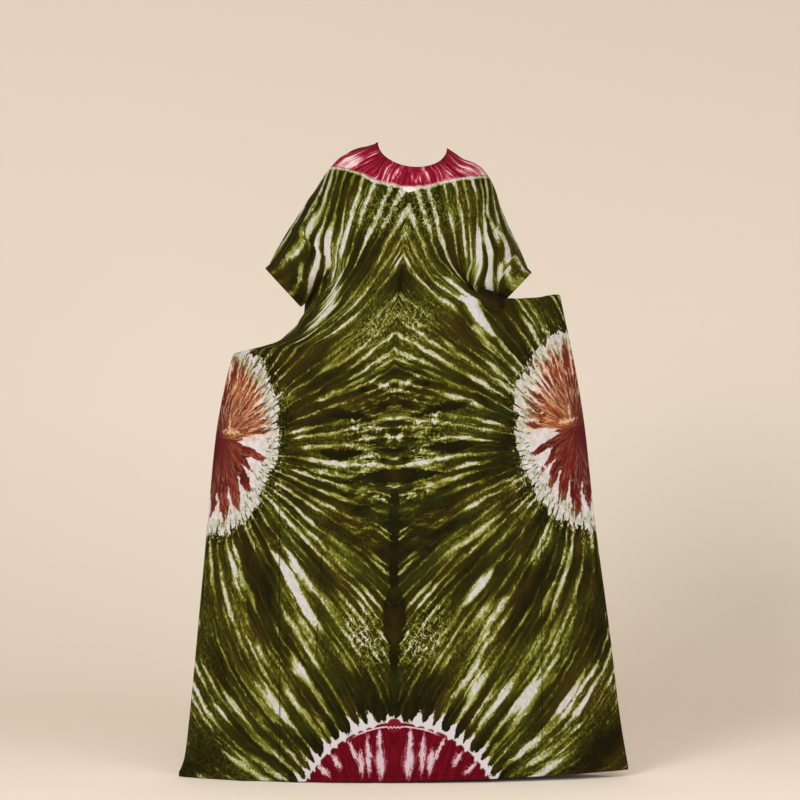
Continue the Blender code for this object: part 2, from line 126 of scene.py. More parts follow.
FOLDS = [
    Fold("left taut fold, underarm to hand", "front", -0.60, 0.235, -0.97, 0.355, 0.014, 0.050, 0.45),
    Fold("left tuck above it", "front", -0.80, 0.185, -0.95, 0.250, -0.012, 0.040, 1.0),
    Fold("right sleeve's lower edge", "front", 0.62, 0.185, 0.94, 0.222, 0.020, 0.045, 1.0),
    Fold("right hollow under the sleeve", "front", 0.62, 0.265, 0.90, 0.285, -0.022, 0.036, 0.7),
    Fold("right pull from the hand", "front", 0.45, 0.400, 0.90, 0.400, 0.006, 0.060, 1.0),
    Fold("left trough below the hand", "front", -0.62, 0.560, -0.55, 1.100, -0.005, 0.070, 1.0),
    Fold("right trough below the hand", "front", 0.62, 0.520, 0.60, 1.200, -0.005, 0.070, 1.0),
    Fold("left corner kick", "front", -0.99, 1.300, -0.80, 1.460, 0.008, 0.050, 1.0),
    Fold("back left pull, underarm to hand", "back", -0.50, 0.240, -0.96, 0.370, 0.012, 0.055, 1.0),
    Fold("back right pull, underarm to hand", "back", 0.48, 0.250, 0.96, 0.350, 0.012, 0.055, 1.0),
    Fold("back left hang", "back", -0.42, 0.420, -0.50, 1.500, 0.011, 0.075, 1.0),
    Fold("back middle hang", "back", 0.06, 0.520, 0.02, 1.500, 0.009, 0.065, 1.0),
    Fold("back right hang", "back", 0.48, 0.460, 0.54, 1.500, 0.012, 0.080, 1.0),
    Fold("back left trough", "back", -0.20, 0.620, -0.24, 1.500, -0.008, 0.060, 1.0),
    Fold("back right trough", "back", 0.26, 0.560, 0.29, 1.500, -0.008, 0.060, 1.0),
]
Shift = namedtuple("Shift", "name s v reach_s reach_v dx dz")
SHIFTS = [
    Shift("right tuck under the sleeve", 0.80, 0.310, 0.36, 0.090, 0.000, -0.050),
    Shift("right sleeve hangs", 0.78, 0.190, 0.30, 0.090, 0.010, -0.010),
    Shift("left sleeve hangs", -0.78, 0.190, 0.30, 0.090, -0.010, -0.006),
]


def smooth_through(at, values, t):
    """Monotone cubic curve through (at, values), read at t."""
    at, values, t = (np.asarray(a, float) for a in (at, values, t))
    step, rise = np.diff(at), np.diff(values)
    slope = rise / step
    tangent = np.zeros(len(at))
    tangent[0], tangent[-1] = slope[0], slope[-1]
    for i in range(1, len(at) - 1):
        if slope[i - 1] * slope[i] > 0:
            a, b = 2 * step[i] + step[i - 1], step[i] + 2 * step[i - 1]
            tangent[i] = (a + b) / (a / slope[i - 1] + b / slope[i])
    i = np.clip(np.searchsorted(at, t) - 1, 0, len(at) - 2)
    h = step[i]
    u = np.clip((t - at[i]) / h, 0, 1)
    return (
        (2 * u**3 - 3 * u**2 + 1) * values[i]
        + (u**3 - 2 * u**2 + u) * h * tangent[i]
        + (3 * u**2 - 2 * u**3) * values[i + 1]
        + (u**3 - u**2) * h * tangent[i + 1]
    )


def lengths(stations):
    points = np.array([(p.x, p.z) for p in stations])
    return np.concatenate([[0], np.cumsum(np.hypot(*np.diff(points, axis=0).T))])


def along(stations, share):
    run = lengths(stations)
    t = np.asarray(share) * run[-1]
    return np.stack(
        [smooth_through(run, [p.x for p in stations], t), smooth_through(run, [p.z for p in stations], t)], axis=-1
    )


def smoothstep(a, b, t):
    t = np.clip((t - a) / (b - a), 0, 1)
    return t * t * (3 - 2 * t)


def middle(column, v):
    return smooth_through([m.v for m in MIDDLE], [getattr(m, column) for m in MIDDLE], v)


def held_v(top, side):
    a, b = lengths(top)[-1], lengths(side)[-1]
    return ARM_OPENING + (CUT_LENGTH - ARM_OPENING) * a / (a + b)


LEFT_HELD_V = held_v(LEFT_TOP_EDGE, LEFT_SIDE)
RIGHT_HELD_V = held_v(RIGHT_TOP_EDGE, RIGHT_SIDE)


def side_edge(v, shoulder, top, side, held):
    v = np.asarray(v, float)
    tip = np.array([shoulder[-1].x, shoulder[-1].z])
    arm = np.array([top[0].x, top[0].z])
    turn = (1 - np.cos(np.pi * np.clip(v / ARM_OPENING, 0, 1))) / 2
    opening = tip + (arm - tip) * turn[..., None]
    upper = along(top, np.clip((v - ARM_OPENING) / (held - ARM_OPENING), 0, 1))
    lower = along(side, np.clip((v - held) / (CUT_LENGTH - held), 0, 1))
    v = v[..., None]
    return np.where(v < ARM_OPENING, opening, np.where(v < held, upper, lower))


def shoulder_line(s):
    s = np.asarray(s, float)
    share = np.clip((np.abs(s) - NECK_HALF_SHARE) / (1 - NECK_HALF_SHARE), 0, 1)
    left, right = along(LEFT_SHOULDER, share), along(RIGHT_SHOULDER, share)
    inner = (s / NECK_HALF_SHARE + 1)[..., None] / 2
    tips = (1 - inner) * [LEFT_SHOULDER[0].x, LEFT_SHOULDER[0].z] + inner * [RIGHT_SHOULDER[0].x, RIGHT_SHOULDER[0].z]
    s = s[..., None]
    return np.where(s < -NECK_HALF_SHARE, left, np.where(s > NECK_HALF_SHARE, right, tips))


def neck_sine(s, v):
    t = np.clip(np.abs(s) / NECK_HALF_SHARE, 0, 1)
    soft = np.exp(-((s / (1.05 * NECK_HALF_SHARE)) ** 2))
    mix = smoothstep(0, 0.10, v)
    return np.cos(t * np.pi / 2) * (1 - mix) + soft * mix


def neck_place(s, v):
    t = np.clip(s / NECK_HALF_SHARE, -1, 1)
    turned = np.where(np.abs(s) < NECK_HALF_SHARE, np.sin(t * np.pi / 2) * NECK_HALF_SHARE, s)
    mix = smoothstep(0, 0.10, v)
    return turned * (1 - mix) + s * mix


def share_of(s_top, s_low, v):
    """Place across the cloth, from -1 to 1."""
    mix = smoothstep(0, 0.34, v)
    return s_top * (1 - mix) + s_low * mix


def sheet(panel, s_top, s_low, v):
    """Points of a panel's inner face, as in the CAD."""
    s = share_of(s_top, s_low, v)
    left = side_edge(v, LEFT_SHOULDER, LEFT_TOP_EDGE, LEFT_SIDE, LEFT_HELD_V)
    right = side_edge(v, RIGHT_SHOULDER, RIGHT_TOP_EDGE, RIGHT_SIDE, RIGHT_HELD_V)
    centre = np.stack([middle("x", v), middle("z", v)], axis=-1)
    edge = np.where((s < 0)[..., None], left, right)
    out = np.abs(s)[..., None]
    flat = centre + (edge - centre) * out
    top_left = np.array([LEFT_SHOULDER[-1].x, LEFT_SHOULDER[-1].z])
    top_right = np.array([RIGHT_SHOULDER[-1].x, RIGHT_SHOULDER[-1].z])
    top_mid = np.array([MIDDLE[0].x, MIDDLE[0].z])
    top_edge = np.where((s < 0)[..., None], top_left, top_right)
    arch = shoulder_line(neck_place(s, v)) - (top_mid + (top_edge - top_mid) * out)
    flat = flat + arch * (np.clip(1 - v / ARCH_FADE, 0, 1) ** 1.35)[..., None]
    drop = FRONT_NECK_DROP if panel == "front" else BACK_NECK_DROP
    fade = np.clip(1 - v / NECK_FADE, 0, 1) ** 1.6
    x, z = flat[..., 0], flat[..., 1] - drop * neck_sine(s, v) * fade
    inside = 1 - np.abs(s) ** 6
    for shift in SHIFTS:
        near = (
            np.exp(-(((s - shift.s) / shift.reach_s) ** 2) * 2.2)
            * np.exp(-(((v - shift.v) / shift.reach_v) ** 2) * 2.2)
            * (1 - np.abs(s) ** 16)
        )
        x, z = x + shift.dx * near, z + shift.dz * near
    turn = np.clip(v / ARM_OPENING, 0, 1)
    at_edge = OPENING_BULGE * np.sin(np.pi * turn)
    full = at_edge + (middle(panel, v) - at_edge) * (1 - np.abs(s) ** 2.3)
    over = np.sqrt(1 - (1 - np.clip(v / SHOULDER_ROUND, 0, 1)) ** 2)
    reach = FRONT_NECK_REACH if panel == "front" else BACK_NECK_REACH
    round_neck = neck_sine(s, v)
    start = reach * round_neck
    rise = np.sin(np.clip(v / (2.4 * SHOULDER_ROUND), 0, 1) * np.pi / 2)
    off = start + (full - start) * (over * (1 - round_neck) + rise * round_neck)
    width = 0.50
    for fold in FOLDS:
        if fold.panel != panel:
            continue
        a = np.array([fold.s0 * width, fold.v0])
        b = np.array([fold.s1 * width, fold.v1])
        line = b - a
        long = np.hypot(*line)
        line = line / long
        px, pv = s * width - a[0], v - a[1]
        t = (px * line[0] + pv * line[1]) / long
        d = px * line[1] - pv * line[0]
        reach_d = np.where(d > 0, fold.wide * fold.steep, fold.wide)
        ends = smoothstep(-0.12, 0.18, t) * (1 - smoothstep(0.82, 1.12, t))
        if fold.v1 >= CUT_LENGTH:
            ends = smoothstep(-0.05, 0.45, t)
        off = off + fold.high * np.exp(-((d / reach_d) ** 2)) * ends * inside * over
    off = np.maximum(off, 0) + GAP / 2
    return np.stack([x, -off if panel == "front" else off, z], axis=-1)


def outward(grid, sign_y):
    down, across = np.gradient(grid, axis=0), np.gradient(grid, axis=1)
    normal = np.cross(across, down)
    normal /= np.linalg.norm(normal, axis=-1, keepdims=True) + 1e-12
    flip = np.sign((normal[..., 1] * sign_y).sum())
    return normal * flip


# ------------------------------------------------------------------ fine grids
FINE = 6  # cells to one CAD column
COLUMNS = (2 * SIDE_COLUMNS + NECK_COLUMNS) * FINE + 1
NECK_FIRST, NECK_LAST = SIDE_COLUMNS * FINE, (SIDE_COLUMNS + NECK_COLUMNS) * FINE


def column_places():
    neck = np.linspace(-1, 1, NECK_COLUMNS * FINE + 1) * NECK_HALF_SHARE
    side = NECK_HALF_SHARE + (1 - NECK_HALF_SHARE) * np.arange(1, SIDE_COLUMNS * FINE + 1) / (SIDE_COLUMNS * FINE)
    top = np.concatenate([-side[::-1], neck, side])
    return top, np.linspace(-1, 1, len(top))


def row_places():
    """Closer together over the shoulder, where the cloth turns."""
    rows = np.linspace(0, 1, 236)
    return CUT_LENGTH * (rows - 0.045 * np.sin(2 * np.pi * np.clip(rows, 0, 0.5)) / 1.0 * (1 - rows))


TOP, LOW = column_places()
ROWS = row_places()
S_TOP, VV = np.meshgrid(TOP, ROWS)
S_LOW, _ = np.meshgrid(LOW, ROWS)
SHARE = share_of(S_TOP, S_LOW, VV)


# ------------------------------------------------------------------ creases finer than the CAD's
# Each runs along a line of x, z points. A step lifts the side to its left as the line is walked (seen from the front)
# over the other side; a ridge lifts, or with a height below 0 sinks, the cloth along the line itself.
Crease = namedtuple("Crease", "name panel kind high wide reach line")
CREASES = [
    Crease("left taut fold over the sleeve", "front", "step", 0.0105, 0.0028, 0.075,
           [(-0.2700, -0.4080), (-0.2392, -0.3800), (-0.2093, -0.3496), (-0.1840, -0.3197), (-0.1541, -0.2898), (-0.1320, -0.2580)]),
    Crease("its trough", "front", "ridge", -0.0060, 0.012, 0.0,
           [(-0.2600, -0.3850), (-0.2220, -0.3440), (-0.1930, -0.3120), (-0.1600, -0.2780)]),
    Crease("sleeve pull", "front", "ridge", 0.0030, 0.012, 0.0, [(-0.2450, -0.3500), (-0.2150, -0.2900), (-0.1800, -0.2000)]),
    Crease("sleeve pull, outer", "front", "ridge", -0.0028, 0.014, 0.0, [(-0.2850, -0.3300), (-0.2600, -0.2600), (-0.2300, -0.1800)]),
    Crease("right sleeve's drape", "front", "step", 0.0155, 0.0030, 0.060,
           [(0.2150, -0.3620), (0.2030, -0.3720), (0.1895, -0.3775), (0.1741, -0.3717), (0.1587, -0.3611), (0.1530, -0.3489), (0.1467, -0.3335), (0.1334, -0.3082), (0.1150, -0.2750)]),
    Crease("hollow under the right sleeve", "front", "ridge", -0.0120, 0.0070, 0.0, [(0.1520, -0.3620), (0.1620, -0.3700), (0.1740, -0.3750), (0.1880, -0.3770)]),
    Crease("below the hollow", "front", "ridge", 0.0050, 0.014, 0.0, [(0.1250, -0.3650), (0.1450, -0.3920), (0.1750, -0.4120), (0.2150, -0.4300)]),
    Crease("right sleeve's inner pull", "front", "ridge", -0.0040, 0.012, 0.0, [(0.1650, -0.3400), (0.1560, -0.2700), (0.1500, -0.2000)]),
    Crease("right sleeve's outer pull", "front", "ridge", 0.0032, 0.014, 0.0, [(0.2150, -0.3300), (0.2100, -0.2600), (0.1950, -0.1800)]),
    Crease("left hand pull", "front", "ridge", 0.0030, 0.014, 0.0, [(-0.4000, -0.4720), (-0.3300, -0.4700), (-0.2300, -0.4500), (-0.1300, -0.4150)]),
    Crease("left hand pull, low", "front", "ridge", -0.0026, 0.016, 0.0, [(-0.3980, -0.4850), (-0.3200, -0.5150), (-0.2200, -0.5500)]),
    Crease("left hand drop", "front", "ridge", 0.0024, 0.015, 0.0, [(-0.4050, -0.5000), (-0.3900, -0.6200), (-0.3800, -0.7900)]),
    Crease("right hand pull", "front", "ridge", 0.0030, 0.013, 0.0, [(0.3280, -0.3500), (0.2600, -0.4000), (0.1700, -0.4600), (0.0900, -0.4900)]),
    Crease("right hand pull, low", "front", "ridge", -0.0026, 0.015, 0.0, [(0.3350, -0.3700), (0.2900, -0.4700), (0.2300, -0.5900)]),
    Crease("right hand drop", "front", "ridge", 0.0022, 0.014, 0.0, [(0.3400, -0.3900), (0.3500, -0.5200), (0.3520, -0.6800)]),
    Crease("left pressed crease", "front", "ridge", -0.0030, 0.0065, 0.0, [(-0.3013, -0.7900), (-0.3020, -1.0900), (-0.3000, -1.4000)]),
    Crease("left pressed crease, short", "front", "ridge", -0.0024, 0.0065, 0.0, [(-0.2030, -0.9200), (-0.2120, -1.0500), (-0.2180, -1.1700)]),
    Crease("right pressed crease", "front", "ridge", -0.0026, 0.0065, 0.0, [(0.2944, -0.8400), (0.2950, -1.1000), (0.2960, -1.3700)]),
    Crease("left side crease", "front", "ridge", 0.0022, 0.0065, 0.0, [(-0.5000, -1.1150), (-0.4850, -1.1500), (-0.4692, -1.1850)]),
    Crease("right side crease", "front", "ridge", 0.0022, 0.0065, 0.0, [(0.4580, -1.1000), (0.4380, -1.1350), (0.4232, -1.1550)]),
    Crease("left corner turned back", "front", "step", 0.0060, 0.0050, 0.060,
           [(-0.5200, -1.2600), (-0.4950, -1.3150), (-0.4740, -1.3660), (-0.4531, -1.4010), (-0.4230, -1.4260), (-0.3841, -1.4430), (-0.3400, -1.4540)]),
    Crease("left corner's sag", "front", "ridge", -0.0030, 0.016, 0.0, [(-0.4800, -1.3900), (-0.4500, -1.4200), (-0.4100, -1.4400)]),
    Crease("right corner's lift", "front", "ridge", 0.0030, 0.016, 0.0, [(0.4800, -1.3500), (0.4300, -1.4000), (0.3600, -1.4250)]),
    Crease("hem ripple, left", "front", "ridge", 0.0035, 0.022, 0.0, [(-0.2550, -1.3300), (-0.2600, -1.3900), (-0.2620, -1.4600)]),
    Crease("hem ripple, middle", "front", "ridge", -0.0030, 0.024, 0.0, [(-0.0700, -1.3200), (-0.0800, -1.3900), (-0.0850, -1.4600)]),
    Crease("hem ripple, right", "front", "ridge", 0.0032, 0.022, 0.0, [(0.1700, -1.3100), (0.1750, -1.3800), (0.1760, -1.4600)]),
    Crease("chest pull, left", "front", "ridge", 0.0020, 0.012, 0.0, [(-0.1450, -0.0900), (-0.1500, -0.1600), (-0.1550, -0.2300)]),
    Crease("chest pull, right", "front", "ridge", 0.0020, 0.012, 0.0, [(0.1300, -0.0900), (0.1350, -0.1700), (0.1300, -0.2500)]),
    Crease("back yoke pull, left", "back", "ridge", 0.0040, 0.014, 0.0, [(-0.2300, -0.3600), (-0.1500, -0.2500), (-0.0900, -0.1200)]),
    Crease("back yoke pull, right", "back", "ridge", 0.0040, 0.014, 0.0, [(0.1900, -0.3500), (0.1300, -0.2300), (0.0900, -0.1100)]),
    Crease("back left hand pull", "back", "ridge", 0.0045, 0.013, 0.0, [(-0.4000, -0.4800), (-0.3000, -0.4900), (-0.1700, -0.4600)]),
    Crease("back left hand pull, low", "back", "ridge", -0.0040, 0.015, 0.0, [(-0.3980, -0.4950), (-0.3100, -0.5500), (-0.2100, -0.6100)]),
    Crease("back right hand pull", "back", "ridge", 0.0045, 0.013, 0.0, [(0.3280, -0.3550), (0.2300, -0.4200), (0.1000, -0.4700)]),
    Crease("back right hand pull, low", "back", "ridge", -0.0040, 0.015, 0.0, [(0.3350, -0.3800), (0.2900, -0.4900), (0.2200, -0.6300)]),
    Crease("back pressed crease, left", "back", "ridge", -0.0030, 0.0065, 0.0, [(-0.2700, -0.7000), (-0.2760, -1.0000), (-0.2780, -1.3800)]),
    Crease("back pressed crease, right", "back", "ridge", -0.0030, 0.0065, 0.0, [(0.2500, -0.7600), (0.2560, -1.1000), (0.2580, -1.3600)]),
    Crease("back seat drag", "back", "ridge", 0.0035, 0.016, 0.0, [(-0.1600, -0.7300), (-0.0400, -0.7800), (0.1000, -0.7500)]),
    Crease("back hem ripple, left", "back", "ridge", 0.0050, 0.024, 0.0, [(-0.3300, -1.1800), (-0.3400, -1.3200), (-0.3450, -1.4600)]),
    Crease("back hem ripple, middle", "back", "ridge", -0.0045, 0.022, 0.0, [(-0.1000, -1.1000), (-0.1100, -1.3000), (-0.1150, -1.4600)]),
    Crease("back hem ripple, right", "back", "ridge", 0.0050, 0.024, 0.0, [(0.3400, -1.1600), (0.3500, -1.3200), (0.3550, -1.4600)]),
]


def beside(line, x, z):
    """Distance to the left of a line of points, and the share of its length that lies behind the nearest place."""
    line = np.array(line)
    nearest, signed, place = np.full(x.shape, 1e9), np.zeros(x.shape), np.zeros(x.shape)
    steps = np.linalg.norm(np.diff(line, axis=0), axis=1)
    whole, past = steps.sum(), 0.0
    for i, step in enumerate(steps):
        way = (line[i + 1] - line[i]) / step
        px, pz = x - line[i, 0], z - line[i, 1]
        t = px * way[0] + pz * way[1]
        inside = np.clip(t, 0, step)
        gap = np.hypot(px - inside * way[0], pz - inside * way[1])
        side = way[0] * pz - way[1] * px
        closer = gap < nearest - 1e-9
        nearest = np.where(closer, gap, nearest)
        signed = np.where(closer, np.sign(side) * gap, signed)
        place = np.where(closer, (past + (t if i in (0, len(steps) - 1) else inside)) / whole, place)
        past += step
    return signed, place


def creased(points, share, panel):
    """How far each point moves out for the fine creases."""
    x, z = points[..., 0], points[..., 2]
    lift = np.zeros(x.shape)
    for crease in CREASES:
        if crease.panel != panel:
            continue
        d, place = beside(crease.line, x, z)
        if crease.kind == "step":
            ends = smoothstep(-0.02, 0.14, place) * (1 - smoothstep(0.80, 1.02, place))
            d = -d if crease.name.startswith("left taut") or crease.name.startswith("right sleeve's drape") else d
            over = smoothstep(-crease.wide, crease.wide, d) * np.exp(-((np.maximum(d, 0) / crease.reach) ** 2))
            lift += crease.high * over * ends
        else:
            ends = smoothstep(-0.15, 0.25, place) * (1 - smoothstep(0.75, 1.15, place))
            if crease.line[-1][1] < -1.45:
                ends = smoothstep(-0.15, 0.5, place)
            lift += crease.high * np.exp(-((d / crease.wide) ** 2)) * ends
    # slight unevenness all over
    for a, b, phase, high in ((9, 5, 0.3, 0.0007), (-13, 8, 1.9, 0.0005), (21, 3, 4.1, 0.0005), (5, -17, 2.6, 0.0004), (34, 12, 5.2, 0.00025)):
        lift += high * np.sin(2 * np.pi * (a * x + b * z) + phase + (0.0 if panel == "front" else 2.2))
    return lift * (1 - np.abs(share) ** 10)


TUCK_LEFT = [c for c in CREASES if c.name.startswith("left taut")][0]
TUCK_RIGHT = [c for c in CREASES if c.name.startswith("right sleeve's drape")][0]


def tucked(x, z):
    """How much cloth the two folds at the underarms hide above them, as a change of the place down the cloth."""
    hidden = np.zeros(x.shape)
    d, place = beside(TUCK_LEFT.line, x, z)
    hidden += 0.042 * (1 - smoothstep(-0.003, 0.003, -d)) * np.exp(-((d / 0.15) ** 2)) * smoothstep(-0.05, 0.1, place) * (1 - smoothstep(0.65, 1.0, place))
    d, place = beside(TUCK_RIGHT.line, x, z)
    hidden += 0.046 * smoothstep(-0.003, 0.003, -d) * np.exp(-((d / 0.15) ** 2)) * smoothstep(-0.05, 0.1, place) * (1 - smoothstep(0.65, 1.0, place))
    return -hidden


def pressed(x, z, panel):
    """Distance to the nearest pressed crease, in metres, with the sign of its side. It is 0.05 or more away from one."""
    nearest = np.full(x.shape, 0.05)
    for crease in CREASES:
        if crease.panel == panel and ("pressed" in crease.name or "side crease" in crease.name):
            d, place = beside(crease.line, x, z)
            d = d + np.where(d < 0, -0.05, 0.05) * (1 - smoothstep(-0.05, 0.02, place) * (1 - smoothstep(0.98, 1.05, place)))
            nearest = np.where(np.abs(d) < np.abs(nearest), d, nearest)
    return nearest


# ------------------------------------------------------------------ where the dye goes, in the flat cloth
PLEAT = 0.024  # width of a pleat
HALF_CLOTH = 0.52  # half the width of the cloth, in metres
BURST_U, BURST_V = 0.530, 0.700  # the knot of each side sunburst, on the side seam
BURST_WIDE, BURST_HIGH = 0.190, 0.212
# What draws the pleats together: pull, u, v. The side knots, their mates on the back, the neck's gather and the hem's.
DRAWS = [(1.0, 0.460, 0.739), (2.18, 0.460, -0.739), (-0.116, -0.460, 0.739)]
DRAWS += [(-2.351 / 13, float(at), -0.300) for at in np.linspace(-0.359, 0.359, 13)]
DRAWS += [(-0.821 / 7, float(at), 1.500) for at in np.linspace(-0.221, 0.221, 7)]

# Where the cloth stayed white (above 0) or came out darker (below 0), mostly where it took the most dye; the hollow
# under the right sleeve and the left corner are painted shade. Each follows the pleats there.
Blot = namedtuple("Blot", "name u v long wide strength side way", defaults=(0, None))
BLOTS = [
    Blot("left chest streak", 0.290, 0.350, 0.085, 0.036, 1.05, -1, (0.030, 0.140)),
    Blot("right chest streak", 0.232, 0.420, 0.075, 0.021, 0.95, 1, (0.080, 0.130)),
    Blot("right chest streak, outer", 0.262, 0.440, 0.050, 0.009, 0.45, 1, (0.090, 0.120)),
    Blot("dark beside the left fold", 0.385, 0.345, 0.085, 0.022, -0.80, -1, (0.035, 0.110)),
    Blot("dark beside the right fold", 0.300, 0.300, 0.100, 0.020, -0.70, 1, (0.060, 0.120)),
    # painted shade: the hollow under the right sleeve is darkened to near black in the cloth's colour
    Blot("painted shade in the hollow", 0.368, 0.322, 0.078, 0.040, -2.60, 1, (1.0, 0.0)),
    Blot("dark top edge", 0.450, 0.400, 0.060, 0.030, -0.40),
    Blot("waist streaks", 0.290, 0.500, 0.110, 0.050, 0.17),
    Blot("chevrons", 0.100, 0.515, 0.100, 0.050, 0.10),
    Blot("calm beside the spine", 0.030, 0.870, 0.070, 0.060, -0.25),
    Blot("chest streak's tail", 0.180, 0.310, 0.070, 0.010, 0.45),
    Blot("shoulder streak", 0.150, 0.215, 0.070, 0.013, 0.55),
    Blot("inner chest streak", 0.120, 0.300, 0.060, 0.009, 0.30),
    Blot("left thigh patch", 0.270, 1.010, 0.055, 0.021, 0.85, -1),
    Blot("right thigh patch", 0.215, 1.030, 0.055, 0.020, 0.85, 1),
    Blot("thigh patch's tail", 0.215, 1.090, 0.050, 0.012, 0.45),
    Blot("left knee patch", 0.240, 1.215, 0.050, 0.015, 0.85, -1),
    Blot("right knee patch", 0.185, 1.240, 0.050, 0.015, 0.85, 1),
    Blot("shin streak", 0.300, 1.150, 0.090, 0.010, 0.40),
    Blot("shin streak, long", 0.378, 1.140, 0.110, 0.012, 0.50),
    Blot("shin patch", 0.302, 1.290, 0.062, 0.015, 0.75),
    Blot("shin patch, inner", 0.242, 1.290, 0.055, 0.011, 0.55),
    Blot("outer shin patch", 0.398, 1.300, 0.060, 0.014, 0.70),
    Blot("outer shin streak", 0.345, 1.260, 0.080, 0.012, 0.40),
    Blot("side streak", 0.420, 1.010, 0.070, 0.009, 0.35),
    Blot("corner band", 0.370, 1.425, 0.090, 0.012, 0.45),
    Blot("corner cloud", 0.430, 1.320, 0.040, 0.014, 0.30),
    Blot("middle patch", 0.034, 0.655, 0.030, 0.020, 0.20),
    Blot("middle patch, low", 0.055, 0.760, 0.040, 0.012, 0.20),
    Blot("outer patch", 0.122, 0.650, 0.022, 0.018, 0.20),
    Blot("whole sleeve", 0.430, 0.120, 0.140, 0.075, 0.11, 0, (1.0, 0.0)),
    Blot("sleeve streak", 0.385, 0.135, 0.095, 0.013, 0.85, 0, (0.130, 0.055)),
    Blot("sleeve patch", 0.312, 0.155, 0.045, 0.019, 0.85, 0, (0.045, 0.060)),
    Blot("sleeve streak, inner", 0.252, 0.186, 0.050, 0.011, 0.60, 0, (0.070, 0.035)),
    Blot("sleeve streak, outer", 0.390, 0.074, 0.085, 0.013, 0.85, 0, (0.130, -0.006)),
    Blot("sleeve cloud", 0.450, 0.098, 0.034, 0.018, 0.55),
    Blot("sleeve cloud, high", 0.340, 0.075, 0.050, 0.016, 0.45),
    Blot("dark sleeve", 0.370, 0.102, 0.080, 0.010, -0.45, 0, (0.130, 0.020)),
    Blot("dark sleeve, low", 0.410, 0.178, 0.070, 0.012, -0.45, 0, (0.100, 0.050)),
    Blot("dark sleeve, outer", 0.480, 0.100, 0.035, 0.011, -0.35, 0, (0.130, 0.010)),
    Blot("quiet chest", 0.110, 0.300, 0.150, 0.110, -0.13),
    Blot("breast bone", 0.000, 0.360, 0.060, 0.012, -0.35),
    Blot("under the ring", 0.300, 0.700, 0.030, 0.100, -0.30),
    Blot("dark bar", 0.150, 0.640, 0.070, 0.018, -0.25),
    Blot("below the bars", 0.110, 0.900, 0.100, 0.050, -0.22),
    Blot("dark corner", 0.462, 1.400, 0.110, 0.042, -0.65),
    # painted shade: the turned-back left corner is darkened in the cloth's colour
    Blot("painted shade on the left corner", 0.500, 1.440, 0.090, 0.035, -0.80, -1, (0.060, 0.060)),
    Blot("dark corner, high", 0.470, 1.200, 0.120, 0.030, -0.30),
    Blot("dark side", 0.500, 1.060, 0.140, 0.030, -0.25),
    Blot("dark thigh", 0.335, 1.050, 0.140, 0.018, -0.40),
    Blot("dark shin", 0.270, 1.200, 0.110, 0.013, -0.40),
    Blot("dark knee", 0.150, 1.200, 0.110, 0.016, -0.30),
    Blot("above the disc", 0.060, 1.270, 0.060, 0.030, -0.30),
]
CRACKS = [
    Blot("below the neck", 0.050, 0.150, 0.070, 0.070, 0.8),
    Blot("yoke", 0.140, 0.180, 0.060, 0.080, 0.5),
    Blot("beside the spine", 0.070, 1.140, 0.090, 0.050, 1.0),
    Blot("waist", 0.100, 0.690, 0.080, 0.080, 0.6),
    Blot("chest", 0.060, 0.420, 0.080, 0.060, 0.7),
    Blot("ring's rim", 0.330, 0.600, 0.030, 0.040, 0.7),
    Blot("ring's rim, low", 0.335, 0.820, 0.030, 0.040, 0.7),
]


def angle_of(u, v):
    """The stream function and the potential of the pleats: they leave the side knots and run to the neck and hem."""
    stream, potential = np.zeros_like(u), np.zeros_like(u)
    for pull, a, b in DRAWS:
        if b > 1.46:
            turn = -np.arctan2(u - a, b - v)
        elif a > 0 and abs(b) > 0.5:
            turn = -np.arctan2(v - b, a - u)
        elif b < 0:
            turn = -np.arctan2(u - a, v - b)
        else:
            turn = np.arctan2(v - b, u - a)
        stream = stream + pull * (turn if b <= 1.46 else -turn)
        potential = potential + pull * np.log(np.hypot(u - a, v - b))
    return stream, potential


def pleat_rate(u, v):
    """Change of the stream function for each metre across the pleats."""
    along_u, along_v = np.zeros_like(u), np.zeros_like(v)
    for pull, a, b in DRAWS:
        x, y = u - a, v - b
        r = x * x + y * y + 1e-4
        along_u, along_v = along_u + pull * x / r, along_v + pull * y / r
    return np.hypot(along_u, along_v)


def pleat_direction(u, v):
    step = 1e-4
    _, a = angle_of(np.array(u - step), np.array(v))
    _, b = angle_of(np.array(u + step), np.array(v))
    _, c = angle_of(np.array(u), np.array(v - step))
    _, d = angle_of(np.array(u), np.array(v + step))
    way = np.array([float(b - a), float(d - c)])
    return way / np.linalg.norm(way)


def blotted(blots, signed, v):
    total, u = np.zeros_like(v), np.abs(signed)
    for blot in blots:
        way = np.array([0.0, 1.0]) if blot.u == 0 else pleat_direction(blot.u, blot.v)
        if blot.way:
            way = np.array(blot.way) / np.linalg.norm(blot.way)
        du, dv = u - blot.u, v - blot.v
        a = (du * way[0] + dv * way[1]) / blot.long
        b = (du * way[1] - dv * way[0]) / blot.wide
        here = smoothstep(-0.02, 0.02, signed * blot.side) if blot.side else 1.0
        total = total + blot.strength * np.exp(-(np.sqrt(a * a + b * b) ** 2.4)) * here
    return total


# The line that was tied across the shoulders below the neck, in metres on the front: x, z.
NECK_LINE = np.array(
    [(-0.2300, -0.0200), (-0.1840, -0.0460), (-0.1541, -0.0529), (-0.1196, -0.0644), (-0.0851, -0.0805),
     (-0.0506, -0.0897), (-0.0092, -0.0966), (0.0299, -0.0943), (0.0759, -0.0828), (0.1219, -0.0736),
     (0.1725, -0.0667), (0.2300, -0.0300)]
)


